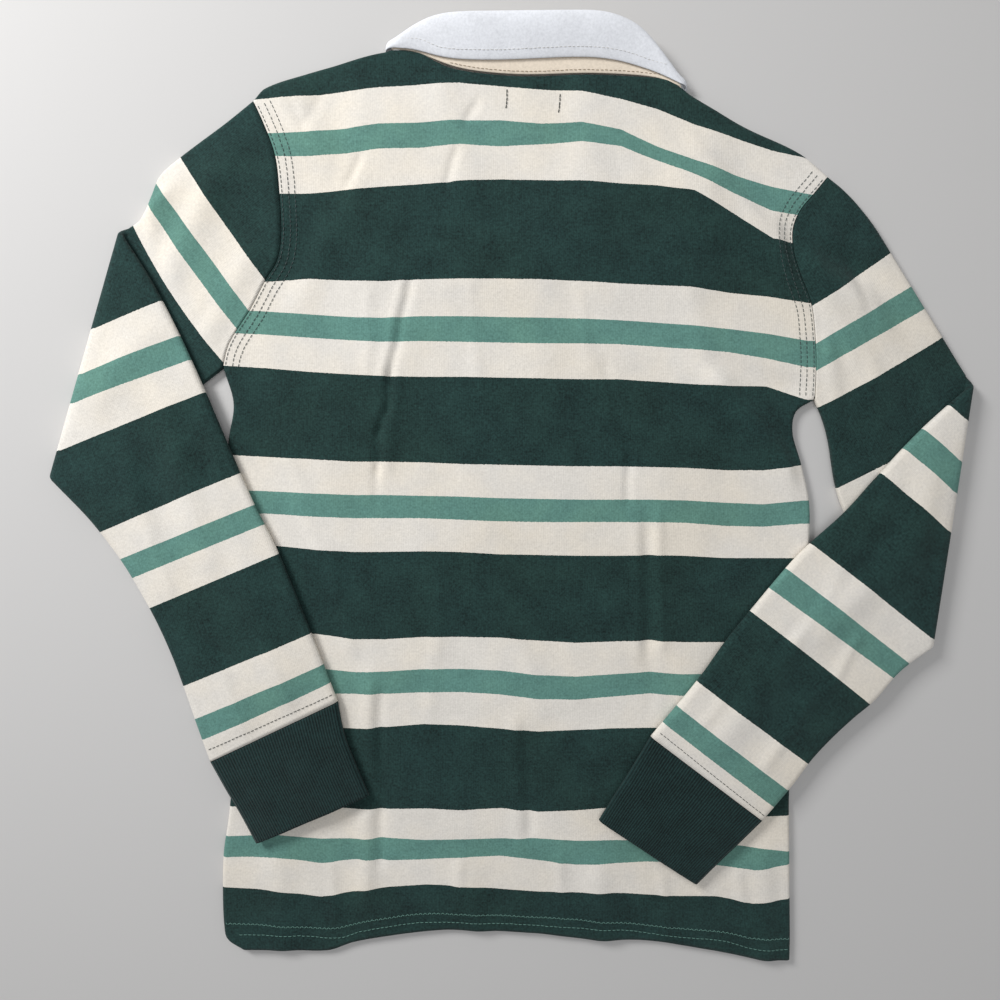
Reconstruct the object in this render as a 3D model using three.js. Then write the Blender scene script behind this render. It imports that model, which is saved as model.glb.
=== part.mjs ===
import * as THREE from 'three';

// Child's rugby shirt laid face down with both sleeves folded back over it, in millimetres.
// X runs across the shirt, Y runs from hem to collar, Z is up and the underside rests at zero.

const WALL = 1.0;
const GAP = 0.3;
const CENTRE_SPLIT = 0.6;
const SEAM_GAP = 0.45;
const NECK_GAP = 0.9;
const EDGE_HEIGHT = 4.6;
const FIELD_HEIGHT = 3.8;
const EDGE_REACH = 14;
const ROLL_RADIUS = 2.6;
const COLLAR_ROOM = 1.9;
const FOLD_SPACE = 0.7;
const SLEEVE_PUFF = 1.4;
const CENTRE_FRONT = 24;
const PLACKET_LENGTH = 130;
const COLLAR_CREST = 16;
const COLLAR_END_CREST = 8.4;
const BAND_FRONT_WIDTH = 27;
const FRONT_NECK_DROP = 62;

// Places across the shirt where the neck opening, the room under the collar and the shoulder roll end.
const NECK_OPENING = { from: -66, to: 114, curve: 2.6 };
const COLLAR_ROOM_ENDS = { outLeft: -106, inLeft: -82, inRight: 128, outRight: 152, low: 112, high: 148 };
const SHOULDER_ROLL_ENDS = { outLeft: -72, inLeft: -66, inRight: 112, outRight: 118 };
const COLLAR_CREST_SPAN = { middle: 21, reach: 88 };
const PANEL_WIDTH = 360;

// Distances from a forearm's outline and from a panel's edge over which folds fade out.
const FOREARM_MARGIN = { near: 2, far: 20 };
const FOLD_MARGIN = 16;
const TOP_EDGE_SOFTENING = 3;

// Share of the sleeve's upper part that bows to the armhole, flat runs beside the elbow fold and puff shares.
const BOW_SHARE = 0.46;
const ELBOW_RUN = { before: 3, after: 4 };
const PUFF_SHARE = { turn: 0.7, whole: 1, end: 0.35, cuff: 0.6 };

const COLOURS = {
  darkGreen: 0x253e3b,
  midGreen: 0x63968a,
  collarWhite: 0xe5e6eb,
  bandCream: 0xebdcc8,
};

// Outline of the body, hem corner to armpit.
const LEFT_SIDE = [
  { x: -174.3, y: -304.3 }, { x: -184.5, y: -297 }, { x: -186.3, y: -287 }, { x: -185.3, y: -238 },
  { x: -181.3, y: -213 }, { x: -178.5, y: -186 }, { x: -179, y: -132 }, { x: -178.8, y: -78 },
  { x: -178.7, y: -26 }, { x: -176.3, y: 13 }, { x: -174.3, y: 39 }, { x: -170.5, y: 62 },
  { x: -176.2, y: 83.9 },
];
const RIGHT_SIDE = [
  { x: 196.2, y: -311.8 }, { x: 196, y: -295 }, { x: 194.1, y: -243 }, { x: 192.6, y: -192 },
  { x: 194.3, y: -159 }, { x: 197, y: -118 }, { x: 199.5, y: -72 }, { x: 200.7, y: -27 },
  { x: 199.6, y: 0 }, { x: 194, y: 23 }, { x: 187.6, y: 45 }, { x: 189.7, y: 57 }, { x: 200.5, y: 64.3 },
];

// Armhole seams, armpit to shoulder tip.
const LEFT_ARMHOLE = [
  { x: -176.2, y: 83.9 }, { x: -172, y: 99 }, { x: -157.5, y: 121.4 }, { x: -147.5, y: 139.4 },
  { x: -140.4, y: 150.6 }, { x: -137.3, y: 164.1 }, { x: -137.6, y: 192.2 }, { x: -139.8, y: 215.2 },
  { x: -146.5, y: 234.5 }, { x: -153, y: 248.8 },
];
const RIGHT_ARMHOLE = [
  { x: 200.5, y: 64.3 }, { x: 200.7, y: 82.6 }, { x: 199.9, y: 99.6 }, { x: 196.4, y: 124.6 },
  { x: 189.1, y: 142.5 }, { x: 184.1, y: 157.9 }, { x: 183.5, y: 171.4 }, { x: 187.6, y: 182 },
  { x: 196.5, y: 193 }, { x: 204.7, y: 203.1 },
];

// Height of each line above the hem origin, by position across the shirt.
const HEM_LINE = [
  { x: -174.3, y: -304.3 }, { x: -144, y: -304.3 }, { x: -116, y: -305 }, { x: -98, y: -299 },
  { x: -61, y: -292.6 }, { x: -33, y: -290.5 }, { x: 24, y: -292.9 }, { x: 59, y: -296.8 },
  { x: 101, y: -298.3 }, { x: 142, y: -304.6 }, { x: 176, y: -311 }, { x: 196.2, y: -311.8 },
];
const BACK_TOP = [
  { x: -153, y: 248.8 }, { x: -146, y: 256 }, { x: -121, y: 264.3 }, { x: -89.5, y: 272.6 },
  { x: -68, y: 277 }, { x: -50, y: 275.6 }, { x: -40, y: 270.8 }, { x: -31, y: 267 }, { x: -15, y: 264 },
  { x: 14, y: 261.8 }, { x: 53, y: 262.8 }, { x: 79, y: 261.9 }, { x: 102, y: 259.8 }, { x: 112, y: 254.6 },
  { x: 130, y: 244.3 }, { x: 155, y: 231.5 }, { x: 187, y: 217 }, { x: 204.7, y: 203.1 },
];
const COLLAR_ROLL = [
  { x: -70, y: 277 }, { x: -66.4, y: 281 }, { x: -60, y: 285.5 }, { x: -54, y: 290 }, { x: -48, y: 293 },
  { x: -42, y: 295.2 }, { x: -30, y: 296.6 }, { x: 2, y: 296.8 }, { x: 36, y: 297.2 }, { x: 67, y: 297 },
  { x: 74, y: 294.3 }, { x: 84, y: 290.3 }, { x: 91, y: 285.1 }, { x: 96.5, y: 279 }, { x: 101.5, y: 271 },
  { x: 106, y: 262.8 }, { x: 110, y: 258.5 },
];
const COLLAR_EDGE = [
  { x: -70, y: 276 }, { x: -60, y: 277.6 }, { x: -48, y: 276.2 }, { x: -39, y: 272.8 }, { x: -31, y: 271 },
  { x: 0, y: 270.1 }, { x: 50, y: 271.8 }, { x: 68, y: 270.7 }, { x: 81, y: 268 }, { x: 91, y: 264.8 },
  { x: 102, y: 261.8 }, { x: 110, y: 257.8 },
];

// Sections of each laid sleeve: a is the shoulder-side edge, b the underarm edge, as seen from above.
const LEFT_UPPER = [
  { ax: -153, ay: 248.8, bx: -176.2, by: 83.9 }, { ax: -170, ay: 235.8, bx: -192, by: 72.5 },
  { ax: -187, ay: 223.8, bx: -208, by: 62.5 }, { ax: -201, ay: 213.6, bx: -224, by: 53 },
  { ax: -212, ay: 204, bx: -240, by: 43.5 }, { ax: -217, ay: 193, bx: -256, by: 34 },
  { ax: -222, ay: 182, bx: -271, by: 25 }, { ax: -232, ay: 172.4, bx: -283, by: 16.4 },
];
const LEFT_FORE = [
  { ax: -232, ay: 172.4, bx: -283, by: 16.4 }, { ax: -218, ay: 138, bx: -263, by: -12 },
  { ax: -201.2, ay: 104.1, bx: -244, by: -38 }, { ax: -186.2, ay: 69.1, bx: -232, by: -59 },
  { ax: -172.9, ay: 35.7, bx: -222, by: -79 }, { ax: -157.3, ay: -2, bx: -213, by: -101 },
  { ax: -142.7, ay: -32.9, bx: -206, by: -122 }, { ax: -122.5, ay: -85.8, bx: -198, by: -148 },
  { ax: -106, ay: -131, bx: -190.5, by: -171.5 },
];
const LEFT_CUFF = [
  { ax: -101.9, ay: -153.1, bx: -180.5, by: -191 },
  { ax: -95.3, ay: -172, bx: -171.5, by: -207.5 }, { ax: -86.4, ay: -194.4, bx: -161.7, by: -227.3 },
];
const RIGHT_UPPER = [
  { ax: 204.7, ay: 203.1, bx: 200.5, by: 64.3 }, { ax: 215, ay: 195, bx: 206.5, by: 52 },
  { ax: 225, ay: 185, bx: 211.4, by: 36 }, { ax: 236, ay: 171.5, bx: 217, by: 8 },
  { ax: 251, ay: 149, bx: 226, by: -14 }, { ax: 267, ay: 125, bx: 243, by: -39 },
  { ax: 283, ay: 101, bx: 261, by: -65 }, { ax: 296.5, ay: 80.7, bx: 278, by: -90 },
];
const RIGHT_FORE = [
  { ax: 296.5, ay: 80.7, bx: 278, by: -90 }, { ax: 268, ay: 46, bx: 261, by: -110.5 },
  { ax: 239.3, ay: 14.1, bx: 244.8, by: -130 }, { ax: 220.2, ay: -7.7, bx: 232, by: -141.5 },
  { ax: 191, ay: -35.5, bx: 220, by: -153.1 }, { ax: 161.7, ay: -71.4, bx: 210, by: -164 },
  { ax: 146, ay: -91.8, bx: 202.4, by: -173.5 }, { ax: 128.3, ay: -117.6, bx: 192, by: -188.5 },
  { ax: 98.8, ay: -154.6, bx: 173.5, by: -211.8 },
];
const RIGHT_CUFF = [
  { ax: 84.2, ay: -180, bx: 158.4, by: -227.5 },
  { ax: 74.5, ay: -196, bx: 146, by: -240 }, { ax: 65.4, ay: -211.5, bx: 131.1, by: -255.7 },
];

// Soft folds of the top surfaces: a line from start to end, its half width and its height.
const BODY_FOLDS = [
  { x1: -72, y1: 135, x2: -70, y2: 80, half: 9, high: -0.6 },
  { x1: -71, y1: 80, x2: -79, y2: 10, half: 8, high: -0.8 },
  { x1: -62, y1: 90, x2: -66, y2: 20, half: 9, high: 0.9 },
  { x1: 99, y1: -26, x2: 96, y2: -150, half: 10, high: 1.3 },
  { x1: 112, y1: -30, x2: 110, y2: -120, half: 9, high: -0.7 },
  { x1: -134, y1: 28, x2: -122, y2: -24, half: 12, high: 1.8 },
  { x1: -88, y1: -124, x2: -90, y2: -262, half: 13, high: 1.6 },
  { x1: 8, y1: -150, x2: 14, y2: -226, half: 12, high: 1.4 },
  { x1: 145, y1: 74, x2: 186, y2: 24, half: 12, high: 2.4 },
  { x1: 166, y1: 92, x2: 150, y2: 60, half: 9, high: -0.7 },
  { x1: 128, y1: 190, x2: 182, y2: 158, half: 15, high: 3.4 },
  { x1: -132, y1: 252, x2: -116, y2: 226, half: 11, high: 1.6 },
  { x1: -34, y1: 252, x2: -22, y2: 204, half: 12, high: 1.2 },
  { x1: 52, y1: 240, x2: 60, y2: 180, half: 14, high: 1.3 },
  { x1: 20, y1: 150, x2: 28, y2: 60, half: 16, high: 0.9 },
  { x1: 66, y1: -258, x2: 70, y2: -294, half: 12, high: 1.8 },
  { x1: -20, y1: -262, x2: -16, y2: -292, half: 12, high: 1.2 },
  { x1: 176, y1: -250, x2: 180, y2: -306, half: 10, high: 1.5 },
  { x1: -150, y1: -250, x2: -146, y2: -300, half: 11, high: 1.4 },
];
const UPPER_FOLDS = [
  { x1: 186, y1: 156, x2: 222, y2: 128, half: 13, high: 3.6 },
  { x1: 222, y1: 128, x2: 240, y2: 112, half: 10, high: 1.6 },
  { x1: 236, y1: 160, x2: 268, y2: 112, half: 10, high: 1.4 },
  { x1: -182, y1: 196, x2: -214, y2: 128, half: 12, high: 1.8 },
  { x1: -204, y1: 196, x2: -222, y2: 168, half: 9, high: 2.4 },
  { x1: -160, y1: 150, x2: -186, y2: 110, half: 12, high: 1.2 },
];
const FORE_FOLDS = [
  { x1: -224, y1: 10, x2: -200, y2: -44, half: 9, high: -0.8 },
  { x1: -206, y1: 26, x2: -186, y2: -30, half: 10, high: 1.6 },
  { x1: -160, y1: -60, x2: -140, y2: -110, half: 12, high: 1.2 },
  { x1: -250, y1: 70, x2: -226, y2: 96, half: 12, high: 1.6 },
  { x1: 246, y1: -40, x2: 214, y2: -76, half: 12, high: 1.8 },
  { x1: 276, y1: 30, x2: 262, y2: -40, half: 12, high: 1.6 },
  { x1: 176, y1: -110, x2: 146, y2: -152, half: 12, high: 1.3 },
];
const CUFF_FOLDS = [
  { x1: 104, y1: -176, x2: 124, y2: -226, half: 8, high: -0.6 },
  { x1: 90, y1: -186, x2: 108, y2: -232, half: 8, high: 1.2 },
  { x1: -128, y1: -168, x2: -112, y2: -206, half: 12, high: 0.9 },
];

const SIDE_STEPS = 18;
const FRONT_SIDE_STEPS = 18;
const ARMHOLE_STEPS = 8;
const NECK_STEPS = 14;
const NECK_FROM = 0.2460;
const NECK_TO = 0.7360;
const LEFT_STEPS = 4;
const RIGHT_STEPS = 5;
const ROLL_ANGLES = [0, 30, 60, 90].map((degrees) => degrees * Math.PI / 180);

const mix = (from, to, share) => from + (to - from) * share;
const clamp = (value, low, high) => Math.min(high, Math.max(low, value));
const smooth = (low, high, value) => {
  const share = clamp((value - low) / (high - low), 0, 1);
  return share * share * (3 - 2 * share);
};
const vec = (x, y, z = 0) => new THREE.Vector3(x, y, z);

// Smooth value of a named column at a place in a table ordered by x.
function heightAt(table, x) {
  const last = table.length - 1;
  let at = 0;
  while (at < last - 1 && table[at + 1].x < x) at += 1;
  const slope = (k) => {
    const before = table[Math.max(0, k - 1)];
    const after = table[Math.min(last, k + 1)];
    return (after.y - before.y) / (after.x - before.x);
  };
  const from = table[at];
  const to = table[at + 1];
  const span = to.x - from.x;
  const s = clamp((x - from.x) / span, 0, 1);
  const s2 = s * s;
  const s3 = s2 * s;
  return (2 * s3 - 3 * s2 + 1) * from.y + (s3 - 2 * s2 + s) * span * slope(at)
    + (3 * s2 - 2 * s3) * to.y + (s3 - s2) * span * slope(at + 1);
}

function curveThrough(table) {
  return new THREE.CatmullRomCurve3(table.map((row) => vec(row.x, row.y)), false, 'centripetal');
}

function foldHeight(folds, x, y) {
  let high = 0;
  for (const fold of folds) {
    const dx = fold.x2 - fold.x1;
    const dy = fold.y2 - fold.y1;
    const length = Math.hypot(dx, dy);
    const along = ((x - fold.x1) * dx + (y - fold.y1) * dy) / length;
    const aside = Math.abs((x - fold.x1) * dy - (y - fold.y1) * dx) / length;
    const beyond = Math.max(0, -along, along - length);
    const reach = Math.hypot(aside, beyond * 0.5) / fold.half;
    high += fold.high * Math.exp(-reach * reach);
  }
  return high;
}

// Distance of a place outside a closed outline, zero inside it.
function outsideOf(outline, x, y) {
  let inside = false;
  let nearest = Infinity;
  outline.forEach((from, k) => {
    const to = outline[(k + 1) % outline.length];
    const crosses = (from.y > y) !== (to.y > y);
    if (crosses && x < mix(from.x, to.x, (y - from.y) / (to.y - from.y))) inside = !inside;
    const dx = to.x - from.x;
    const dy = to.y - from.y;
    const along = clamp(((x - from.x) * dx + (y - from.y) * dy) / (dx * dx + dy * dy), 0, 1);
    nearest = Math.min(nearest, Math.hypot(x - from.x - dx * along, y - from.y - dy * along));
  });
  return inside ? 0 : nearest;
}

const outlineOf = (rows) => [
  ...rows.map((row) => ({ x: row.ax, y: row.ay })),
  ...rows.slice().reverse().map((row) => ({ x: row.bx, y: row.by })),
];
const FOREARMS = [outlineOf([...LEFT_FORE, ...LEFT_CUFF]), outlineOf([...RIGHT_FORE, ...RIGHT_CUFF])];

// Folds lie flat where a forearm rests on them.
function freeOfForearm(x, y) {
  const { near, far } = FOREARM_MARGIN;
  return Math.min(...FOREARMS.map((outline) => smooth(near, far, outsideOf(outline, x, y))));
}

function collarRoom(x, y) {
  const ends = COLLAR_ROOM_ENDS;
  const across = smooth(ends.outLeft, ends.inLeft, x) * smooth(ends.outRight, ends.inRight, x);
  return COLLAR_ROOM * across * smooth(ends.low, ends.high, y);
}

const leftSide = curveThrough(LEFT_SIDE);
const rightSide = curveThrough(RIGHT_SIDE);
const leftArmhole = curveThrough(LEFT_ARMHOLE);
const rightArmhole = curveThrough(RIGHT_ARMHOLE);

function frontTopAt(x) {
  const back = heightAt(BACK_TOP, x);
  const { from, to, curve } = NECK_OPENING;
  if (x <= from || x >= to) return back;
  const reach = Math.abs(x - CENTRE_FRONT) / Math.abs((x < CENTRE_FRONT ? from : to) - CENTRE_FRONT);
  const line = mix(heightAt(BACK_TOP, from), heightAt(BACK_TOP, to), (x - from) / (to - from));
  return Math.min(back - 1, line - FRONT_NECK_DROP * (1 - reach ** curve));
}

function columnPlaces() {
  const rolls = ROLL_ANGLES.map((angle) => ROLL_RADIUS * (1 - Math.cos(angle)) / PANEL_WIDTH);
  const places = [...rolls];
  const start = rolls[rolls.length - 1];
  for (let k = 1; k <= LEFT_STEPS; k += 1) places.push(mix(start, NECK_FROM, k / LEFT_STEPS));
  for (let k = 1; k <= NECK_STEPS; k += 1) places.push(mix(NECK_FROM, NECK_TO, k / NECK_STEPS));
  for (let k = 1; k <= RIGHT_STEPS; k += 1) places.push(mix(NECK_TO, 1 - start, k / RIGHT_STEPS));
  rolls.slice(0, -1).reverse().forEach((roll) => places.push(1 - roll));
  return places;
}

function armholeDistances(length) {
  const rows = [0];
  for (let k = 0; k <= ARMHOLE_STEPS; k += 1) {
    rows.push(mix(ROLL_RADIUS, length - ROLL_RADIUS, k / ARMHOLE_STEPS));
  }
  const rolls = ROLL_ANGLES.slice(0, -1).reverse();
  rolls.forEach((angle) => rows.push(length - ROLL_RADIUS * (1 - Math.cos(angle))));
  return rows;
}

// Rows of a body panel: the end points at both edges and how much each edge is rolled.
function panelRows(sideSteps) {
  const rows = [];
  for (let k = 0; k <= sideSteps; k += 1) {
    rows.push({
      left: leftSide.getPointAt(k / sideSteps), right: rightSide.getPointAt(k / sideSteps), rolled: 1, top: 0,
    });
  }
  const leftLength = leftArmhole.getLength();
  const rightLength = rightArmhole.getLength();
  const left = armholeDistances(leftLength);
  const right = armholeDistances(rightLength);
  for (let k = 1; k < left.length; k += 1) {
    const roll = k - (left.length - ROLL_ANGLES.length);
    rows.push({
      left: leftArmhole.getPointAt(left[k] / leftLength),
      right: rightArmhole.getPointAt(right[k] / rightLength),
      rolled: 0,
      top: roll < 0 ? 0 : 1 - Math.sin(ROLL_ANGLES[ROLL_ANGLES.length - 1 - roll]),
    });
  }
  const first = rows[0];
  const last = rows[rows.length - 1];
  rows.forEach((row) => {
    const byLeft = (row.left.y - first.left.y) / (last.left.y - first.left.y);
    const byRight = (row.right.y - first.right.y) / (last.right.y - first.right.y);
    row.v = (byLeft + byRight) / 2;
  });
  return rows;
}

function panelPlan(rows, places, topAt) {
  const corners = [rows[0].left, rows[0].right, rows[rows.length - 1].left, rows[rows.length - 1].right];
  return rows.map((row) => places.map((u) => {
    const hem = vec(mix(corners[0].x, corners[1].x, u), 0);
    hem.y = heightAt(HEM_LINE, hem.x);
    const top = vec(mix(corners[2].x, corners[3].x, u), 0);
    top.y = topAt(top.x);
    const blend = (key) => mix(row.left[key], row.right[key], u) + mix(hem[key], top[key], row.v)
      - mix(mix(corners[0][key], corners[1][key], u), mix(corners[2][key], corners[3][key], u), row.v);
    return vec(blend('x'), blend('y'));
  }));
}

function topHeight(x, y, edgeDistance) {
  const edge = Math.exp(-((edgeDistance / EDGE_REACH) ** 2));
  const room = collarRoom(x, y);
  const folds = foldHeight(BODY_FOLDS, x, y) * freeOfForearm(x, y) * smooth(0, FOLD_MARGIN, edgeDistance);
  return mix(FIELD_HEIGHT, EDGE_HEIGHT, edge) + room + folds;
}

// Neck edges butt against the neck band, so the shoulder roll fades out there.
const shoulderRoll = (x) => {
  const ends = SHOULDER_ROLL_ENDS;
  return 1 - smooth(ends.outLeft, ends.inLeft, x) * smooth(ends.outRight, ends.inRight, x);
};

function panelGrid(rows, places, topAt, isBack) {
  const plan = panelPlan(rows, places, topAt);
  const top = rows.length - 1;
  const count = places.length - 1;
  return rows.map((row, r) => places.map((u, c) => {
    const point = plan[r][c];
    const toTop = point.distanceTo(plan[top][c]) + TOP_EDGE_SOFTENING;
    const sideDistance = Math.min(point.distanceTo(plan[r][0]), point.distanceTo(plan[r][count]), toTop);
    const room = collarRoom(point.x, point.y);
    const high = topHeight(point.x, point.y, sideDistance);
    const low = room;
    const middle = (high + low) / 2 + (isBack ? GAP / 2 : -GAP / 2);
    const column = Math.min(c, count - c);
    const aside = column < ROLL_ANGLES.length ? row.rolled * (1 - Math.sin(ROLL_ANGLES[column])) : 0;
    const drop = Math.max(aside, row.top * shoulderRoll(point.x));
    const placed = vec(point.x, point.y, mix(isBack ? high : low, middle, drop));
    placed.middle = middle;
    return placed;
  }));
}

// Inner wall of a body panel, which stays on its own side of the middle of the tube.
function innerOf(grid, isBack) {
  const inner = offsetGrid(grid, normalsOf(grid), isBack ? -WALL : WALL);
  inner.forEach((row, r) => row.forEach((point, c) => {
    const { middle } = grid[r][c];
    point.z = isBack ? Math.max(point.z, middle) : Math.min(point.z, middle);
  }));
  return inner;
}

function normalsOf(grid) {
  const rows = grid.length - 1;
  const columns = grid[0].length - 1;
  return grid.map((row, r) => row.map((point, c) => {
    const across = row[Math.min(columns, c + 1)].clone().sub(row[Math.max(0, c - 1)]);
    const along = grid[Math.min(rows, r + 1)][c].clone().sub(grid[Math.max(0, r - 1)][c]);
    return across.cross(along).normalize();
  }));
}

// Closed wall between two matching grids of points; cells left out make openings.
function wallBetween(outer, inner, keepCell = () => true) {
  const columns = outer[0].length;
  const count = outer.length * columns;
  const points = [...outer.flat(), ...inner.flat()];
  const faces = [];
  const cells = new Set();
  for (let r = 0; r < outer.length - 1; r += 1) {
    for (let c = 0; c < columns - 1; c += 1) if (keepCell(r, c)) cells.add(r * columns + c);
  }
  const quad = (a, b, c, d) => faces.push([a, b, c], [a, c, d]);
  cells.forEach((a) => {
    const right = a + 1;
    const up = a + columns;
    const far = up + 1;
    quad(a, right, far, up);
    quad(a + count, up + count, far + count, right + count);
    const column = a % columns;
    if (!cells.has(a - columns)) quad(right, a, a + count, right + count);
    if (!cells.has(up)) quad(up, far, far + count, up + count);
    if (column === 0 || !cells.has(a - 1)) quad(a, up, up + count, a + count);
    if (column === columns - 2 || !cells.has(right)) quad(far, right, right + count, far + count);
  });
  return bodyOf(points, faces);
}

// Closed wall between matching outer and inner rings along a tube.
function tubeBetween(outer, inner) {
  const around = outer[0].length;
  const count = outer.length * around;
  const points = [...outer.flat(), ...inner.flat()];
  const faces = [];
  const quad = (a, b, c, d) => faces.push([a, b, c], [a, c, d]);
  for (let r = 0; r < outer.length; r += 1) {
    for (let c = 0; c < around; c += 1) {
      const a = r * around + c;
      const b = r * around + (c + 1) % around;
      if (r < outer.length - 1) {
        quad(a, b, b + around, a + around);
        quad(b + count, a + count, a + around + count, b + around + count);
      }
      if (r === 0) quad(b, a, a + count, b + count);
      if (r === outer.length - 1) quad(a, b, b + count, a + count);
    }
  }
  return bodyOf(points, faces);
}

// Indexed geometry from used points, turned to face outward.
function bodyOf(points, faces) {
  let volume = 0;
  faces.forEach(([a, b, c]) => {
    volume += points[a].dot(points[b].clone().cross(points[c]));
  });
  const index = new Map();
  const positions = [];
  const place = (k) => {
    if (!index.has(k)) {
      index.set(k, index.size);
      positions.push(points[k].x, points[k].y, points[k].z);
    }
    return index.get(k);
  };
  const turned = faces.flatMap(([a, b, c]) => (volume > 0 ? [a, b, c] : [a, c, b]).map(place));
  const geometry = new THREE.BufferGeometry();
  geometry.setAttribute('position', new THREE.Float32BufferAttribute(positions, 3));
  geometry.setIndex(turned);
  geometry.computeVertexNormals();
  return geometry;
}

function offsetGrid(grid, normals, distance) {
  return grid.map((row, r) => row.map((point, c) => point.clone().addScaledVector(normals[r][c], distance)));
}

const places = columnPlaces();
const neckFirst = ROLL_ANGLES.length - 1 + LEFT_STEPS;
const neckLast = neckFirst + NECK_STEPS;

function backPanel() {
  const grid = panelGrid(panelRows(SIDE_STEPS), places, (x) => heightAt(BACK_TOP, x), true);
  return { grid, geometry: wallBetween(grid, innerOf(grid, true)) };
}

// The front opening is cut between two columns, down from the neck.
const SLOT_FIRST = neckFirst + 6;
const SLOT_LAST = neckFirst + 8;

function frontPanel() {
  const rows = panelRows(FRONT_SIDE_STEPS);
  const grid = panelGrid(rows, places, frontTopAt, false);
  const inner = innerOf(grid, false);
  const slotRow = grid.findIndex((row) => row[SLOT_FIRST].y > frontTopAt(CENTRE_FRONT) - PLACKET_LENGTH);
  const geometry = wallBetween(grid, inner, (r, c) => r < slotRow || c < SLOT_FIRST || c >= SLOT_LAST);
  const cut = [];
  for (let r = slotRow; r < grid.length; r += 1) {
    const left = grid[r][SLOT_FIRST];
    const right = grid[r][SLOT_LAST];
    const width = left.distanceTo(right);
    const row = [];
    for (let c = SLOT_FIRST; c <= SLOT_LAST; c += 1) {
      const share = mix(SEAM_GAP / width, 1 - SEAM_GAP / width, (c - SLOT_FIRST) / (SLOT_LAST - SLOT_FIRST));
      const middle = grid[r][SLOT_FIRST + 1];
      const nearLeft = left.clone().lerp(middle, share * 2);
      row.push(share < 0.5 ? nearLeft : middle.clone().lerp(right, share * 2 - 1));
    }
    cut.push(row);
  }
  cut[0].forEach((point) => { point.y += SEAM_GAP; });
  const placket = wallBetween(cut, offsetGrid(cut, normalsOf(cut), WALL));
  return { grid, geometry, placket };
}

// A sleeve is worked out flat, then its far part is rolled back over a fold line.
function sleeveMap(upper) {
  const last = upper[upper.length - 1];
  const first = vec(last.ax, last.ay);
  const second = vec(last.bx, last.by);
  const line = second.clone().sub(first).normalize();
  const outward = vec(-line.y, line.x);
  if (outward.x * first.x < 0) outward.negate();
  const axis = EDGE_HEIGHT + FOLD_SPACE / 2;
  const neutral = axis - EDGE_HEIGHT / 2;
  const turn = Math.PI * neutral;
  const distance = (point) => (point.x - first.x) * outward.x + (point.y - first.y) * outward.y;
  const flatten = (x, y) => {
    const point = vec(x, y);
    const beyond = distance(point);
    return point.addScaledVector(outward, -2 * beyond + turn);
  };
  const fold = (point, height) => {
    const d = distance(point);
    if (d <= 0) return vec(point.x, point.y, height);
    const foot = vec(point.x, point.y).addScaledVector(outward, -d);
    const radius = axis - height;
    if (d >= turn) return foot.addScaledVector(outward, turn - d).setZ(axis + radius);
    const angle = d / neutral;
    return foot.addScaledVector(outward, radius * Math.sin(angle)).setZ(axis - radius * Math.cos(angle));
  };
  return { distance, flatten, fold, turn, neutral };
}

// Smooth point of one edge at a fractional row of the flat sleeve.
function edgeAt(edge, k) {
  const last = edge.length - 1;
  const at = Math.min(Math.floor(k), last - 1);
  const s = k - at;
  const from = edge[at];
  const to = edge[at + 1];
  const slopeFrom = to.clone().sub(edge[Math.max(0, at - 1)]).multiplyScalar(at > 0 ? 0.5 : 1);
  const slopeTo = edge[Math.min(last, at + 2)].clone().sub(from).multiplyScalar(at < last - 1 ? 0.5 : 1);
  const s2 = s * s;
  const s3 = s2 * s;
  return from.clone().multiplyScalar(2 * s3 - 3 * s2 + 1).addScaledVector(slopeFrom, s3 - 2 * s2 + s)
    .addScaledVector(to, 3 * s2 - 2 * s3).addScaledVector(slopeTo, s3 - s2);
}

const UPPER_SHARES = [0, 0.06, 0.16, 0.3, 0.46, 0.62, 0.78, 0.92];
const FORE_SHARES = [0.05, 0.14, 0.25, 0.37, 0.49, 0.61, 0.73, 0.85, 0.94, 1];
const TURN_ANGLES = [0, 30, 60, 90, 120, 150, 180];

// Ring places: distance in from an edge, or a share of the middle between both rolled edges.
function ringPlaces() {
  const corner = ROLL_RADIUS * (1 - Math.SQRT1_2);
  const ring = [];
  for (let k = 0; k <= ARMHOLE_STEPS; k += 1) ring.push({ middle: k / ARMHOLE_STEPS, up: 1 });
  ring.push({ fromB: corner, up: Math.SQRT1_2 }, { fromB: 0, up: 0 }, { fromB: corner, up: -Math.SQRT1_2 });
  for (let k = ARMHOLE_STEPS; k >= 0; k -= 1) ring.push({ middle: k / ARMHOLE_STEPS, up: -1 });
  ring.push({ fromA: corner, up: -Math.SQRT1_2 }, { fromA: 0, up: 0 }, { fromA: corner, up: Math.SQRT1_2 });
  return ring;
}

function acrossOf(place, width) {
  if (place.middle !== undefined) return mix(ROLL_RADIUS, width - ROLL_RADIUS, place.middle);
  return place.fromA !== undefined ? place.fromA : width - place.fromB;
}

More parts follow.
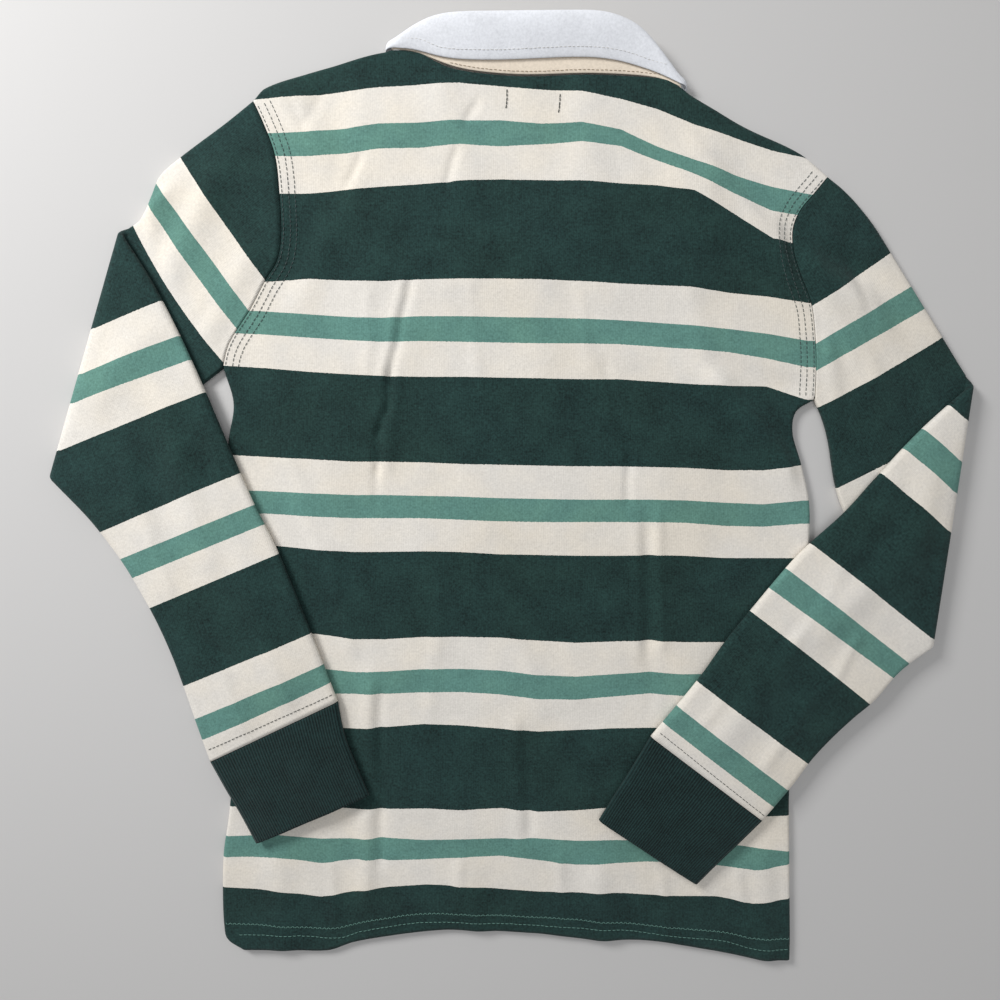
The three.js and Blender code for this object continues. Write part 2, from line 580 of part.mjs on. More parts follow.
function tubeRings(sections, map, options) {
  const ring = ringPlaces();
  const make = (inset) => sections.map((section, k) => ring.map((place) => {
    const width = section.a.distanceTo(section.b);
    const side = section.b.clone().sub(section.a).normalize();
    let across = acrossOf(place, width);
    if (inset && place.middle === undefined) {
      const centre = place.fromA !== undefined ? ROLL_RADIUS : width - ROLL_RADIUS;
      across = mix(centre, across, (ROLL_RADIUS - WALL) / ROLL_RADIUS);
    }
    const point = section.a.clone().addScaledVector(side, across);
    if (section.bow > 0) point.addScaledVector(options.bowAt(place), section.bow);
    const plan = map.fold(point, 0);
    const share = clamp(across / width, 0, 1);
    const soft = Math.sin(Math.PI * share) ** 0.5;
    const isFore = map.distance(point) > map.turn * 0.5;
    const foreRise = (foldHeight(options.foreFolds, plan.x, plan.y) + SLEEVE_PUFF) * section.ease;
    const upperRise = foldHeight(UPPER_FOLDS, plan.x, plan.y) * freeOfForearm(plan.x, plan.y);
    const raised = soft * (isFore ? foreRise : upperRise);
    const high = EDGE_HEIGHT + (isFore ? 0 : raised);
    const low = isFore ? -raised : 0;
    const half = EDGE_HEIGHT / 2;
    const centre = place.up > 0 ? high - half : low + half;
    const upright = half - (inset ? WALL : 0);
    const height = (Math.abs(place.up) === 1 ? centre : half) + place.up * upright;
    return map.fold(point, height);
  }));
  return { outer: make(false), inner: make(true) };
}

function sleeve(upper, fore, cuff, armhole) {
  const map = sleeveMap(upper);
  const edges = ['a', 'b'].map((side) => [
    ...upper.slice(0, -1).map((row) => vec(row[`${side}x`], row[`${side}y`])),
    vec(upper[upper.length - 1][`${side}x`], upper[upper.length - 1][`${side}y`]),
    ...fore.slice(1).map((row) => map.flatten(row[`${side}x`], row[`${side}y`])),
  ]);
  const rowAt = (edge, distance) => {
    let low = 0;
    let high = edge.length - 1;
    for (let k = 0; k < 40; k += 1) {
      const middle = (low + high) / 2;
      if (map.distance(edgeAt(edge, middle)) < distance) low = middle;
      else high = middle;
    }
    return (low + high) / 2;
  };
  const last = edges[0].length - 1;
  const sections = [];
  const addAt = (ka, kb, ease, bow) => {
    sections.push({ a: edgeAt(edges[0], ka), b: edgeAt(edges[1], kb), ease, bow });
  };
  const before = edges.map((edge) => rowAt(edge, -ELBOW_RUN.before));
  UPPER_SHARES.forEach((share) => {
    addAt(before[0] * share, before[1] * share, 0, clamp(1 - share / BOW_SHARE, 0, 1));
  });
  addAt(before[0], before[1], 0, 0);
  TURN_ANGLES.forEach((degrees) => {
    const distance = Math.PI * map.neutral * degrees / 180;
    addAt(rowAt(edges[0], distance), rowAt(edges[1], distance), smooth(90, 270, degrees), 0);
  });
  const after = edges.map((edge) => rowAt(edge, map.turn + ELBOW_RUN.after));
  addAt(after[0], after[1], PUFF_SHARE.turn, 0);
  FORE_SHARES.forEach((share) => {
    const ease = share < 1 ? PUFF_SHARE.whole : PUFF_SHARE.end;
    addAt(mix(after[0], last, share), mix(after[1], last, share), ease, 0);
  });
  const length = armhole.getLength();
  const start = sections[0];
  const startSide = start.b.clone().sub(start.a).normalize();
  const startWidth = start.a.distanceTo(start.b);
  const bowAt = (place) => {
    const alongArmhole = clamp(1 - acrossOf(place, length) / length, 0, 1);
    const target = armhole.getPointAt(alongArmhole);
    const tangent = armhole.getTangentAt(alongArmhole);
    const out = vec(-tangent.y, tangent.x);
    if (out.x * start.a.x < 0) out.negate();
    target.addScaledVector(out, SEAM_GAP);
    return target.sub(start.a.clone().addScaledVector(startSide, acrossOf(place, startWidth)));
  };
  const tube = tubeRings(sections, map, { bowAt, foreFolds: FORE_FOLDS });
  const cuffSections = cuff.map((row) => ({
    a: map.flatten(row.ax, row.ay), b: map.flatten(row.bx, row.by), ease: PUFF_SHARE.cuff, bow: 0,
  }));
  const end = sections[sections.length - 1];
  const shifted = (key) => {
    const step = cuffSections[0][key].clone().sub(end[key]).normalize();
    return end[key].clone().addScaledVector(step, SEAM_GAP);
  };
  cuffSections.unshift({ a: shifted('a'), b: shifted('b'), ease: end.ease, bow: 0 });
  const cuffTube = tubeRings(cuffSections, map, { bowAt, foreFolds: CUFF_FOLDS });
  return { tube: tubeBetween(tube.outer, tube.inner), cuff: tubeBetween(cuffTube.outer, cuffTube.inner) };
}

const back = backPanel();
const front = frontPanel();
const leftSleeve = sleeve(LEFT_UPPER, LEFT_FORE, LEFT_CUFF, leftArmhole);
const rightSleeve = sleeve(RIGHT_UPPER, RIGHT_FORE, RIGHT_CUFF, rightArmhole);

// Collar strips run round the neck from one centre-front end to the other.
const END_ANGLES = [30, 60, 90, 120, 150].map((degrees) => degrees * Math.PI / 180);

function aroundNeck(topLine, lowLine, reach, drop = 1) {
  const turnAt = (top, low, sign) => END_ANGLES.map((angle) => {
    const share = (1 - Math.cos(angle)) / 2;
    const aside = sign * reach * Math.sin(angle);
    return top.clone().lerp(low, share).add(vec(aside, 0)).setZ(mix(top.z, low.z, share ** drop));
  });
  const half = lowLine.length / 2;
  const lowLeft = lowLine.slice(0, half);
  const lowRight = lowLine.slice(half);
  const leftTurn = turnAt(topLine[0], lowLeft[half - 1], -1).reverse();
  const rightTurn = turnAt(topLine[topLine.length - 1], lowRight[0], 1);
  return [...lowLeft, ...leftTurn, ...topLine, ...rightTurn, ...lowRight];
}

const neckTop = back.grid[back.grid.length - 1].slice(neckFirst, neckLast + 1);
const neckLow = front.grid[front.grid.length - 1].slice(neckFirst, neckLast + 1);
const neckMiddle = (neckLow.length - 1) / 2;
const centreEnd = (side) => neckLow[neckMiddle].clone().add(vec(side * CENTRE_SPLIT, 0));
// Stations of each front half, from centre front to the end of the shoulder.
const lowLeftSeam = [centreEnd(-1), ...neckLow.slice(0, neckMiddle).reverse()];
const lowRightSeam = [...neckLow.slice(neckMiddle + 1).reverse(), centreEnd(1)];
const lowOrder = [...lowLeftSeam, ...lowRightSeam];

const endShare = (x) => clamp(Math.abs(x - COLLAR_CREST_SPAN.middle) / COLLAR_CREST_SPAN.reach, 0, 1) ** 4;
const crestAt = (x) => mix(COLLAR_CREST, COLLAR_END_CREST, endShare(x));

// The band stops short of the roll and the crest, leaving room for the leaf that turns over it.
const BAND = {
  steps: 4, belowRoll: 4.4, belowCrest: 4.2, leastWidth: 2, leastRise: 0.4, frontRoom: 6, turn: 1.6,
  firstDrop: 0.5,
};

function bandGrid() {
  const lines = [];
  for (let k = 0; k <= BAND.steps; k += 1) {
    const share = k / BAND.steps;
    const top = neckTop.map((seam) => {
      const rollY = heightAt(COLLAR_ROLL, seam.x);
      const end = Math.max(seam.y + BAND.leastWidth, rollY - BAND.belowRoll);
      const start = seam.z - WALL / 2;
      const finish = Math.max(start + BAND.leastRise, crestAt(seam.x) - WALL / 2 - BAND.belowCrest);
      return vec(seam.x, mix(seam.y + NECK_GAP, end, share), mix(start, finish, share));
    });
    const low = lowOrder.map((seam) => {
      const room = heightAt(COLLAR_ROLL, seam.x) - seam.y - BAND.frontRoom;
      const width = Math.max(BAND.leastWidth, Math.min(BAND_FRONT_WIDTH, room));
      return vec(seam.x, mix(seam.y + NECK_GAP, seam.y + width, share), COLLAR_ROOM + WALL / 2);
    });
    lines.push(aroundNeck(top, low, BAND.turn, mix(BAND.firstDrop, 1, share)));
  }
  return lines;
}

const band = bandGrid();

// The leaf's section: how far it rolls out past the band, its rise to the crest and its way down.
const LEAF_PROFILE = [
  { out: 0.9, up: 0, down: 0 }, { out: 3.2, up: 0.28, down: 0 }, { out: 3.9, up: 0.6, down: 0 },
  { out: 2.6, up: 0.92, down: 0 }, { out: 0, up: 1, down: 0.12 }, { out: 0, up: 1, down: 0.4 },
  { out: 0, up: 1, down: 0.7 }, { out: 0, up: 1, down: 1 },
];
const LEAF_POINT = { spread: 46, drop: 56 };
const LEAF = {
  frontRoll: 1.6, overSeam: 1.2, edgeRoom: 0.6, clear: 0.5, leastTurn: 1.7, fullTurn: 5.2, fall: 0.8,
};

function leafGrid() {
  const bandEnd = band[band.length - 1];
  const half = lowLeftSeam.length;
  const topFrom = half + END_ANGLES.length;
  const topEnd = bandEnd.slice(topFrom, topFrom + neckTop.length);
  const lowEnd = [...bandEnd.slice(0, half), ...bandEnd.slice(-half)];
  return LEAF_PROFILE.map((step) => {
    const top = topEnd.map((point, k) => {
      const crest = crestAt(point.x) - WALL / 2;
      const seam = neckTop[k];
      const edge = clamp(heightAt(COLLAR_EDGE, point.x), seam.y + LEAF.overSeam, point.y - LEAF.edgeRoom);
      const y = mix(point.y + step.out, edge, step.down);
      const share = clamp((y - seam.y) / Math.max(2, point.y - seam.y), 0, 1);
      const rest = mix(seam.z, point.z + WALL / 2, share) + WALL / 2 + LEAF.clear;
      const fallen = Math.max(rest, mix(crest, rest, step.down ** LEAF.fall));
      const high = step.down > 0 ? fallen : mix(point.z, crest, step.up);
      return vec(point.x, y, high);
    });
    const low = lowEnd.map((point, k) => {
      const isLeft = k < half;
      const station = isLeft ? half - 1 - k : k - half;
      const toCentre = station / (half - 1);
      const corner = isLeft ? lowEnd[half - 1] : lowEnd[half];
      const side = isLeft ? -1 : 1;
      const edgeX = mix(corner.x, CENTRE_FRONT + side * LEAF_POINT.spread, toCentre);
      const centreY = lowEnd[0].y - LEAF_POINT.drop;
      const edgeY = mix(corner.y - LEAF.edgeRoom, centreY, Math.sin(Math.PI / 2 * toCentre));
      const turnOut = Math.min(step.out, LEAF.frontRoll);
      return vec(
        mix(point.x, edgeX, step.down), mix(point.y + turnOut, edgeY, step.down),
        mix(point.z, WALL / 2, step.up),
      );
    });
    return aroundNeck(top, low, mix(LEAF.leastTurn, LEAF.fullTurn, clamp(step.up + step.down, 0, 1)));
  });
}

function stripWall(lines) {
  const normals = normalsOf(lines);
  return wallBetween(offsetGrid(lines, normals, WALL / 2), offsetGrid(lines, normals, -WALL / 2));
}

const PIECES = [
  { name: 'back_panel', geometry: back.geometry, colour: COLOURS.darkGreen, roughness: 0.92 },
  { name: 'front_panel', geometry: front.geometry, colour: COLOURS.darkGreen, roughness: 0.92 },
  { name: 'placket', geometry: front.placket, colour: COLOURS.darkGreen, roughness: 0.9 },
  { name: 'sleeve_left', geometry: leftSleeve.tube, colour: COLOURS.midGreen, roughness: 0.92 },
  { name: 'sleeve_right', geometry: rightSleeve.tube, colour: COLOURS.midGreen, roughness: 0.92 },
  { name: 'cuff_left', geometry: leftSleeve.cuff, colour: COLOURS.darkGreen, roughness: 0.95 },
  { name: 'cuff_right', geometry: rightSleeve.cuff, colour: COLOURS.darkGreen, roughness: 0.95 },
  { name: 'neck_band', geometry: stripWall(band), colour: COLOURS.bandCream, roughness: 0.85 },
  { name: 'collar_leaf', geometry: stripWall(leafGrid()), colour: COLOURS.collarWhite, roughness: 0.85 },
];

const shirt = new THREE.Group();
shirt.name = 'rugby_shirt';
PIECES.forEach((piece) => {
  const material = new THREE.MeshStandardMaterial({
    color: piece.colour, roughness: piece.roughness, metalness: 0, name: `${piece.name}_cloth`,
  });
  const mesh = new THREE.Mesh(piece.geometry, material);
  mesh.name = piece.name;
  shirt.add(mesh);
});

// The origin lies under the middle of the whole shirt.
const bounds = new THREE.Box3().setFromObject(shirt);
const middle = bounds.getCenter(vec(0, 0));
shirt.children.forEach((mesh) => mesh.geometry.translate(-middle.x, -middle.y, -bounds.min.z));

export default shirt;
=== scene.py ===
import math

import bmesh
import bpy
import numpy as np
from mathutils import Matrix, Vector
from mathutils.bvhtree import BVHTree


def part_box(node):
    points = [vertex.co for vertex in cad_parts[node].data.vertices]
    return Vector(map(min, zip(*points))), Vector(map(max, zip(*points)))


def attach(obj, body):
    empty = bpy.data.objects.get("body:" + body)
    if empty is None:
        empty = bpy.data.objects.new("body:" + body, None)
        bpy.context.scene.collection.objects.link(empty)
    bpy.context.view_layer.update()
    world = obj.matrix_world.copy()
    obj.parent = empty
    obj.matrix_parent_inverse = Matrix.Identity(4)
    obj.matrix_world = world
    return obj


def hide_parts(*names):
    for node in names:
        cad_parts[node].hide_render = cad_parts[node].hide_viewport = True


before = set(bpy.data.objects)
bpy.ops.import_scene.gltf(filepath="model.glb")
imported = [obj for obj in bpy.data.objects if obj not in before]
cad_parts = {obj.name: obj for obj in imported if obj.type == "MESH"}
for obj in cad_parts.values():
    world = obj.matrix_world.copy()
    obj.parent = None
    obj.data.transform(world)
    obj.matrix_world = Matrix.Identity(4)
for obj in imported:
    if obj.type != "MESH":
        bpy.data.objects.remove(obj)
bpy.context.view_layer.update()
rng = np.random.default_rng(8)

# Plan sizes are in millimetres from the picture's centre; the row frame starts at PLAN_MIDDLE.
PLAN_MIDDLE = (6.442, -7.234)
CLOTH = 0.9
EDGE_HEIGHT = 4.6
FIELD_HEIGHT = 3.8
EDGE_REACH = 14.0
ROLL_RADIUS = 2.6
COLLAR_ROOM = 1.9
FOLD_SPACE = 0.7
SLEEVE_PUFF = 1.4
SEAM_GAP = 0.45
CENTRE_FRONT = 24.0
PLACKET_LIFT = 1.3
FRONT_NECK_DROP = 62.0
FOLD_STRENGTH = 1.25

# Outline of the body, hem corner to armpit, as (x, y).
LEFT_SIDE = [
    (-174.3, -304.3), (-184.5, -297), (-186.3, -287), (-185.3, -238), (-181.3, -213), (-178.5, -186),
    (-179, -132),
    (-178.8, -78), (-178.7, -26), (-176.3, 13), (-174.3, 39), (-170.5, 62), (-176.2, 83.9),
]
RIGHT_SIDE = [
    (196.2, -311.8), (196, -295), (194.1, -243), (192.6, -192), (194.3, -159), (197, -118), (199.5, -72),
    (200.7, -27), (199.6, 0), (194, 23), (187.6, 45), (189.7, 57), (200.5, 64.3),
]
LEFT_ARMHOLE = [
    (-176.2, 83.9), (-172, 99), (-157.5, 121.4), (-147.5, 139.4), (-140.4, 150.6), (-137.3, 164.1),
    (-137.6, 192.2), (-139.8, 215.2), (-146.5, 234.5), (-153, 248.8),
]
RIGHT_ARMHOLE = [
    (200.5, 64.3), (200.7, 82.6), (199.9, 99.6), (196.4, 124.6), (189.1, 142.5), (184.1, 157.9),
    (183.5, 171.4),
    (187.6, 182), (196.5, 193), (204.7, 203.1),
]
HEM_LINE = [
    (-174.3, -304.3), (-144, -304.3), (-116, -305), (-98, -299), (-61, -292.6), (-33, -290.5), (24, -292.9),
    (59, -296.8), (101, -298.3), (142, -304.6), (176, -311), (196.2, -311.8),
]
BACK_TOP = [
    (-153, 248.8), (-146, 256), (-121, 264.3), (-89.5, 272.6), (-68, 277), (-50, 275.6), (-40, 270.8),
    (-31, 267),
    (-15, 264), (14, 261.8), (53, 262.8), (79, 261.9), (102, 259.8), (112, 254.6), (130, 244.3), (155, 231.5),
    (187, 217), (204.7, 203.1),
]
COLLAR_EDGE = [
    (-70, 276), (-60, 277.6), (-48, 276.2), (-39, 272.8), (-31, 271), (0, 270.1), (50, 271.8), (68, 270.7),
    (81, 268), (91, 264.8), (102, 261.8), (110, 257.8),
]

# Sections of each laid sleeve, seen from above: shoulder-side edge (ax, ay), underarm edge (bx, by).
LEFT_UPPER = [
    (-153, 248.8, -176.2, 83.9), (-170, 235.8, -192, 72.5), (-187, 223.8, -208, 62.5),
    (-201, 213.6, -224, 53),
    (-212, 204, -240, 43.5), (-217, 193, -256, 34), (-222, 182, -271, 25), (-232, 172.4, -283, 16.4),
]
LEFT_FORE = [
    (-232, 172.4, -283, 16.4), (-218, 138, -263, -12), (-201.2, 104.1, -244, -38), (-186.2, 69.1, -232, -59),
    (-172.9, 35.7, -222, -79), (-157.3, -2, -213, -101), (-142.7, -32.9, -206, -122),
    (-122.5, -85.8, -198, -148),
    (-106, -131, -190.5, -171.5),
]
LEFT_CUFF = [
    (-101.9, -153.1, -180.5, -191), (-95.3, -172, -171.5, -207.5), (-86.4, -194.4, -161.7, -227.3),
]
RIGHT_UPPER = [
    (204.7, 203.1, 200.5, 64.3), (215, 195, 206.5, 52), (225, 185, 211.4, 36), (236, 171.5, 217, 8),
    (251, 149, 226, -14), (267, 125, 243, -39), (283, 101, 261, -65), (296.5, 80.7, 278, -90),
]
RIGHT_FORE = [
    (296.5, 80.7, 278, -90), (268, 46, 261, -110.5), (239.3, 14.1, 244.8, -130), (220.2, -7.7, 232, -141.5),
    (191, -35.5, 220, -153.1), (161.7, -71.4, 210, -164), (146, -91.8, 202.4, -173.5),
    (128.3, -117.6, 192, -188.5),
    (98.8, -154.6, 173.5, -211.8),
]
RIGHT_CUFF = [
    (84.2, -180, 158.4, -227.5), (74.5, -196, 146, -240), (65.4, -211.5, 131.1, -255.7),
]

# Stripe edges of the body: places across the shirt, and for each of the five groups the heights there
# of the upper white's top, the green's top, the green's foot and the lower white's foot.
STRIPE_X = (-185, -150, -120, -95, -75, -50, -25, 0, 25, 50, 75, 98, 120, 145, 170, 195)
BODY_STRIPES = (
    (
        (249, 249, 251, 253.5, 255.5, 257, 258, 256, 254, 253, 248.5, 242.5, 233.5, 226, 218, 213),
        (228.5, 228.5, 229.5, 231.5, 234, 234.5, 236, 236, 234, 234.5, 230.5, 220, 212, 203.5, 196.5, 191.5),
        (215, 215, 215, 216.5, 219, 219.5, 221.5, 220.5, 221.5, 223, 220.5, 211.5, 203, 191.5, 181.5, 178),
        (192, 192, 192.5, 194.5, 196, 197.5, 199.5, 200.5, 200, 199.5, 198, 196.5, 193, 179, 164, 160.5),
    ),
    (
        (138, 138, 140, 139, 138.5, 139.5, 140, 140, 139.5, 138.5, 137, 136, 135, 131.5, 129, 125),
        (121, 120, 118, 116.5, 116, 117, 117, 116.5, 116, 115.5, 114.5, 113, 111.5, 109, 106, 101.5),
        (107, 105.5, 103.5, 102, 101, 101.5, 101, 100.5, 100, 100, 99.5, 98, 96.5, 94.5, 90.5, 85),
        (86.5, 84.5, 82, 80.5, 79.5, 79, 79, 78.5, 78, 77.5, 77.5, 76, 74.5, 73, 73, 64.5),
    ),
    (
        (30, 28, 26.5, 25, 25, 24.5, 23.5, 23, 22.5, 22, 22, 21.5, 21, 19.5, 19.5, 23),
        (7, 6, 4.5, 3.5, 3.5, 3, 2.5, 1.5, 1, 0.5, 0.5, 0.5, 0, -1.5, -2.5, 0),
        (-8.5, -8.5, -10.5, -11.5, -11.5, -11.5, -12.5, -13.5, -14, -14, -14, -14, -14.5, -16.5, -17, -15),
        (-29, -29, -32, -33.5, -33.5, -33, -33.5, -35, -35.5, -36, -36, -35.5, -36, -37.5, -37.5, -37.5),
    ),
    (
        (-87, -87, -87.5, -91, -91, -89.5, -89.5, -90, -92, -93.5, -92.5, -92, -93, -93, -93, -93),
        (
            -110.5, -110.5, -110.5, -113, -112.5, -111, -111, -112, -115, -116, -114.5, -113, -114.5, -114,
            -114, -114
        ),
        (
            -127.5, -127.5, -127.5, -127.5, -127.5, -126.5, -126.5, -128, -131, -131.5, -129.5, -127.5,
            -129, -128.5, -128.5, -128.5
        ),
        (-150, -150, -150, -151, -150, -148, -149, -151, -153, -152, -151, -150.5, -151, -151, -151, -151),
    ),
    (
        (
            -204, -204, -204, -206, -206, -205.5, -207, -205.5, -208, -207, -205, -206.5, -208, -209.5,
            -211.5, -210
        ),
        (
            -224.5, -224, -226.5, -226.5, -226, -227.5, -227, -226.5, -226.5, -228, -227.5, -228, -228.5,
            -229.5, -232.5, -235.5
        ),
        (
            -239, -239, -243.5, -240.5, -241.5, -241, -239.5, -238.5, -241.5, -244.5, -243.5, -242.5, -243,
            -245, -248, -244
        ),
        (
            -260, -262.5, -267, -262.5, -260, -258.5, -259.5, -261.5, -263.5, -264, -264, -265.5, -266.5,
            -266.5, -271.5, -268
        ),
    ),
)

# Stripe edges of a sleeve, measured along it from the fold's shoulder end: at edge a, middle, edge b.
LEFT_STRIPES = [
    (-50.5, -48, -47.3), (-29.3, -28.1, -27.1), (-17.5, -14.6, -14.4), (-2, 5, 6), (56.7, 61.2, 65.7),
    (80.4, 83.9, 87.4), (96.4, 99.1, 101.8), (118.9, 122.8, 126.7), (174.6, 179.4, 184.3),
    (196.3, 200.5, 204.7),
    (210.3, 214.6, 219), (231.7, 236.6, 241.5), (287.3, 292, 296.7), (309.8, 315, 320.1),
    (323.7, 329.6, 334.8),
    (350, 356, 362),
]
RIGHT_STRIPES = [
    (-91.1, -89.8, -90.4), (-66, -67.9, -69.1), (-49.5, -52.5, -54.9), (-28.2, -30, -35.3),
    (28.3, 23.3, 17.5),
    (50, 45, 39.5), (67, 62, 56), (88, 83, 77), (150.6, 143.4, 136.1), (173, 165.4, 157.8),
    (189.7, 180.6, 171.4), (209.1, 201.3, 194.6), (266.7, 258.6, 250.4), (287.5, 280, 272.6),
    (301.7, 294.5, 287.2), (328, 321, 314),
]
LEFT_RUN = (-0.8, -0.6)
RIGHT_RUN = (0.5443, -0.8389)
STITCH_LEFT = (331.1, 337.1, 342.9)
STITCH_RIGHT = (307.8, 301.7, 295.6)

# Soft folds of the top surfaces: x1, y1, x2, y2, half width, height.
BODY_FOLDS = [
    (-57, 137, -70, 80, 2.6, -1.0), (-70, 80, -72, 59, 2.4, -1.1), (-72, 59, -78, 45, 2.2, -1.3),
    (-78, 45, -79, 20, 2.4, -1.1), (-79, 20, -80, 0, 3, -0.6), (-62, 137, -76, 77, 3.4, 0.7),
    (-67, 64, -72, 26, 4, 0.8), (-83, 127, -84, 83, 4, 0.5), (68, 84, 83, 27, 3, -0.7),
    (83, 27, 82, 0, 2.6, -0.9), (95, -25, 98, -91, 4.4, -1.1), (102, -12, 106, -91, 3.6, 0.9),
    (88, -12, 90, -98, 4, 0.6), (98, -91, 101, -155, 5, -0.6), (-136, 26, -124, 5, 5, 0.9),
    (-127, -8, -119, -28, 5, 0.8), (-88, 212, -94, 201, 2.6, -0.9), (-28, 215, -33, 199, 2.6, -0.9),
    (-16, 244, -20, 237, 2.4, -0.7), (-130, 248, -124, 237, 3, -0.7), (-112, 250, -119, 237, 3, -0.6),
    (-86, -124, -90, -261, 6, 1.5), (-79, -131, -80, -240, 3.4, -1.0), (9, -151, 13, -226, 5, 0.9),
    (17, -158, 20, -219, 3.4, -0.7), (26, -131, 13, -91, 5, 0.5), (140, 73, 184, 22, 7, 2.2),
    (139, 88, 191, 72, 6, -0.9), (-52, -38, -20, -78, 6, 0.6), (38, 170, 63, 133, 7, 0.5),
    (-13, 77, 0, 39, 5, 0.5), (-39, -65, -46, -131, 5, 0.5), (66, -158, 93, -199, 6, 0.7),
    (-27, -247, -30, -276, 4, 0.9), (-113, -247, -111, -279, 4, 0.9), (40, -240, 42, -272, 4, 0.8),
    (107, -247, 113, -282, 4, 0.9), (160, -254, 167, -293, 4, 0.9), (124, 218, 162, 176, 5, 0.8),
    (87, 200, 125, 170, 6, 0.6), (-110, -38, -98, -91, 5, 0.8), (50, 133, 57, 89, 4, 0.4),
    (-19, 133, -15, 89, 4, 0.4), (-137, -91, -105, -131, 6, 0.5), (128, 190, 182, 158, 15, 3.6),
    (-132, 252, -116, 226, 11, 1.4), (-34, 252, -22, 204, 12, 1.2), (52, 240, 60, 180, 14, 1.2),
    (20, 150, 28, 60, 16, 0.8), (66, -258, 70, -294, 9, 1.6), (-20, -262, -16, -292, 9, 1.2),
    (176, -250, 180, -306, 9, 1.6), (-150, -250, -146, -300, 10, 1.5), (145, 74, 186, 24, 13, 1.6),
    (112, 160, 128, 100, 9, 0.8), (-100, 180, -124, 130, 9, 0.8), (-30, 60, -10, -10, 10, 0.6),
]
UPPER_FOLDS = [
    (186, 156, 222, 128, 13, 4.2), (222, 128, 240, 112, 10, 1.8), (236, 160, 268, 112, 10, 1.6),
    (208, 150, 236, 132, 7, -0.8), (-182, 196, -214, 128, 12, 2.2), (-204, 196, -222, 168, 9, 2.8),
    (-160, 150, -186, 110, 12, 1.4), (-170, 214, -186, 190, 9, 1.0), (-150, 180, -170, 150, 8, -0.6),
    (-196, 150, -214, 118, 8, -0.5), (208, 96, 214, 60, 6, 1.2), (228, 100, 246, 70, 7, 1.3),
    (-212, 190, -226, 176, 4, 1.6), (-186, 120, -204, 90, 5, -0.8), (220, 150, 232, 120, 4, -1.0),
    (196, 176, 216, 160, 5, 1.0), (206, 130, 224, 92, 5, 0.9), (236, 70, 250, 20, 7, 1.0),
]
FORE_FOLDS = [
    (-224, 10, -200, -44, 8, -1.0), (-206, 26, -186, -30, 10, 1.8), (-160, -60, -140, -110, 12, 1.4),
    (-250, 70, -226, 96, 12, 1.8), (-196, -84, -182, -98, 6, -0.9), (-212, 60, -196, 20, 8, 0.8),
    (-176, 0, -160, -50, 10, 0.9), (-236, 20, -226, -16, 7, 1.0), (-180, -110, -166, -150, 5, 0.9),
    (-222, -28, -212, -56, 4, 0.9), (-196, -90, -180, -100, 3, -0.9), (-150, -100, -136, -130, 4, 0.8),
    (-186, 60, -178, 20, 4, 0.7),
    (246, -40, 214, -76, 12, 2.0), (276, 30, 262, -40, 12, 1.8), (176, -110, 146, -152, 12, 1.5),
    (220, -40, 190, -90, 6, 1.1), (250, 10, 232, -30, 5, 0.9), (200, -130, 176, -170, 5, 1.1),
    (206, -60, 176, -100, 4, -0.7), (230, -90, 214, -120, 4, 0.9), (150, -120, 132, -146, 4, 0.8),
]
CUFF_FOLDS = [
    (104, -176, 124, -226, 8, -1.2), (90, -186, 108, -232, 8, 1.2), (-128, -168, -112, -206, 12, 0.9),
    (140, -214, 128, -240, 8, 0.7), (-160, -188, -146, -214, 9, 0.6),
]


def mix(a, b, share):
    return a + (b - a) * share


def smooth(low, high, value):
    share = np.clip((value - low) / (high - low), 0, 1)
    return share * share * (3 - 2 * share)


def curve(points, count=None, shares=None, dense=60):
    """Evenly measured points of a smooth line through the given ones."""
    p = np.array(points, float)[:, :2]
    ext = np.vstack([2 * p[0] - p[1], p, 2 * p[-1] - p[-2]])
    out = []
    for k in range(1, len(ext) - 2):
        p0, p1, p2, p3 = ext[k - 1 : k + 3]
        t0 = 0.0
        t1 = t0 + math.sqrt(np.linalg.norm(p1 - p0))
        t2 = t1 + math.sqrt(np.linalg.norm(p2 - p1))
        t3 = t2 + math.sqrt(np.linalg.norm(p3 - p2))
        t = np.linspace(t1, t2, dense, endpoint=False)[:, None]
        a1 = (t1 - t) / (t1 - t0) * p0 + (t - t0) / (t1 - t0) * p1
        a2 = (t2 - t) / (t2 - t1) * p1 + (t - t1) / (t2 - t1) * p2
        a3 = (t3 - t) / (t3 - t2) * p2 + (t - t2) / (t3 - t2) * p3
        b1 = (t2 - t) / (t2 - t0) * a1 + (t - t0) / (t2 - t0) * a2
        b2 = (t3 - t) / (t3 - t1) * a2 + (t - t1) / (t3 - t1) * a3
        out.append((t2 - t) / (t2 - t1) * b1 + (t - t1) / (t2 - t1) * b2)
    line = np.vstack(out + [p[-1:]])
    steps = np.concatenate([[0], np.cumsum(np.linalg.norm(np.diff(line, axis=0), axis=1))])
    where = np.linspace(0, 1, count) if shares is None else np.asarray(shares)
    where = where * steps[-1]
    return np.stack([np.interp(where, steps, line[:, 0]), np.interp(where, steps, line[:, 1])], axis=1)


def length_of(points):
    line = curve(points, 400)
    return float(np.linalg.norm(np.diff(line, axis=0), axis=1).sum())


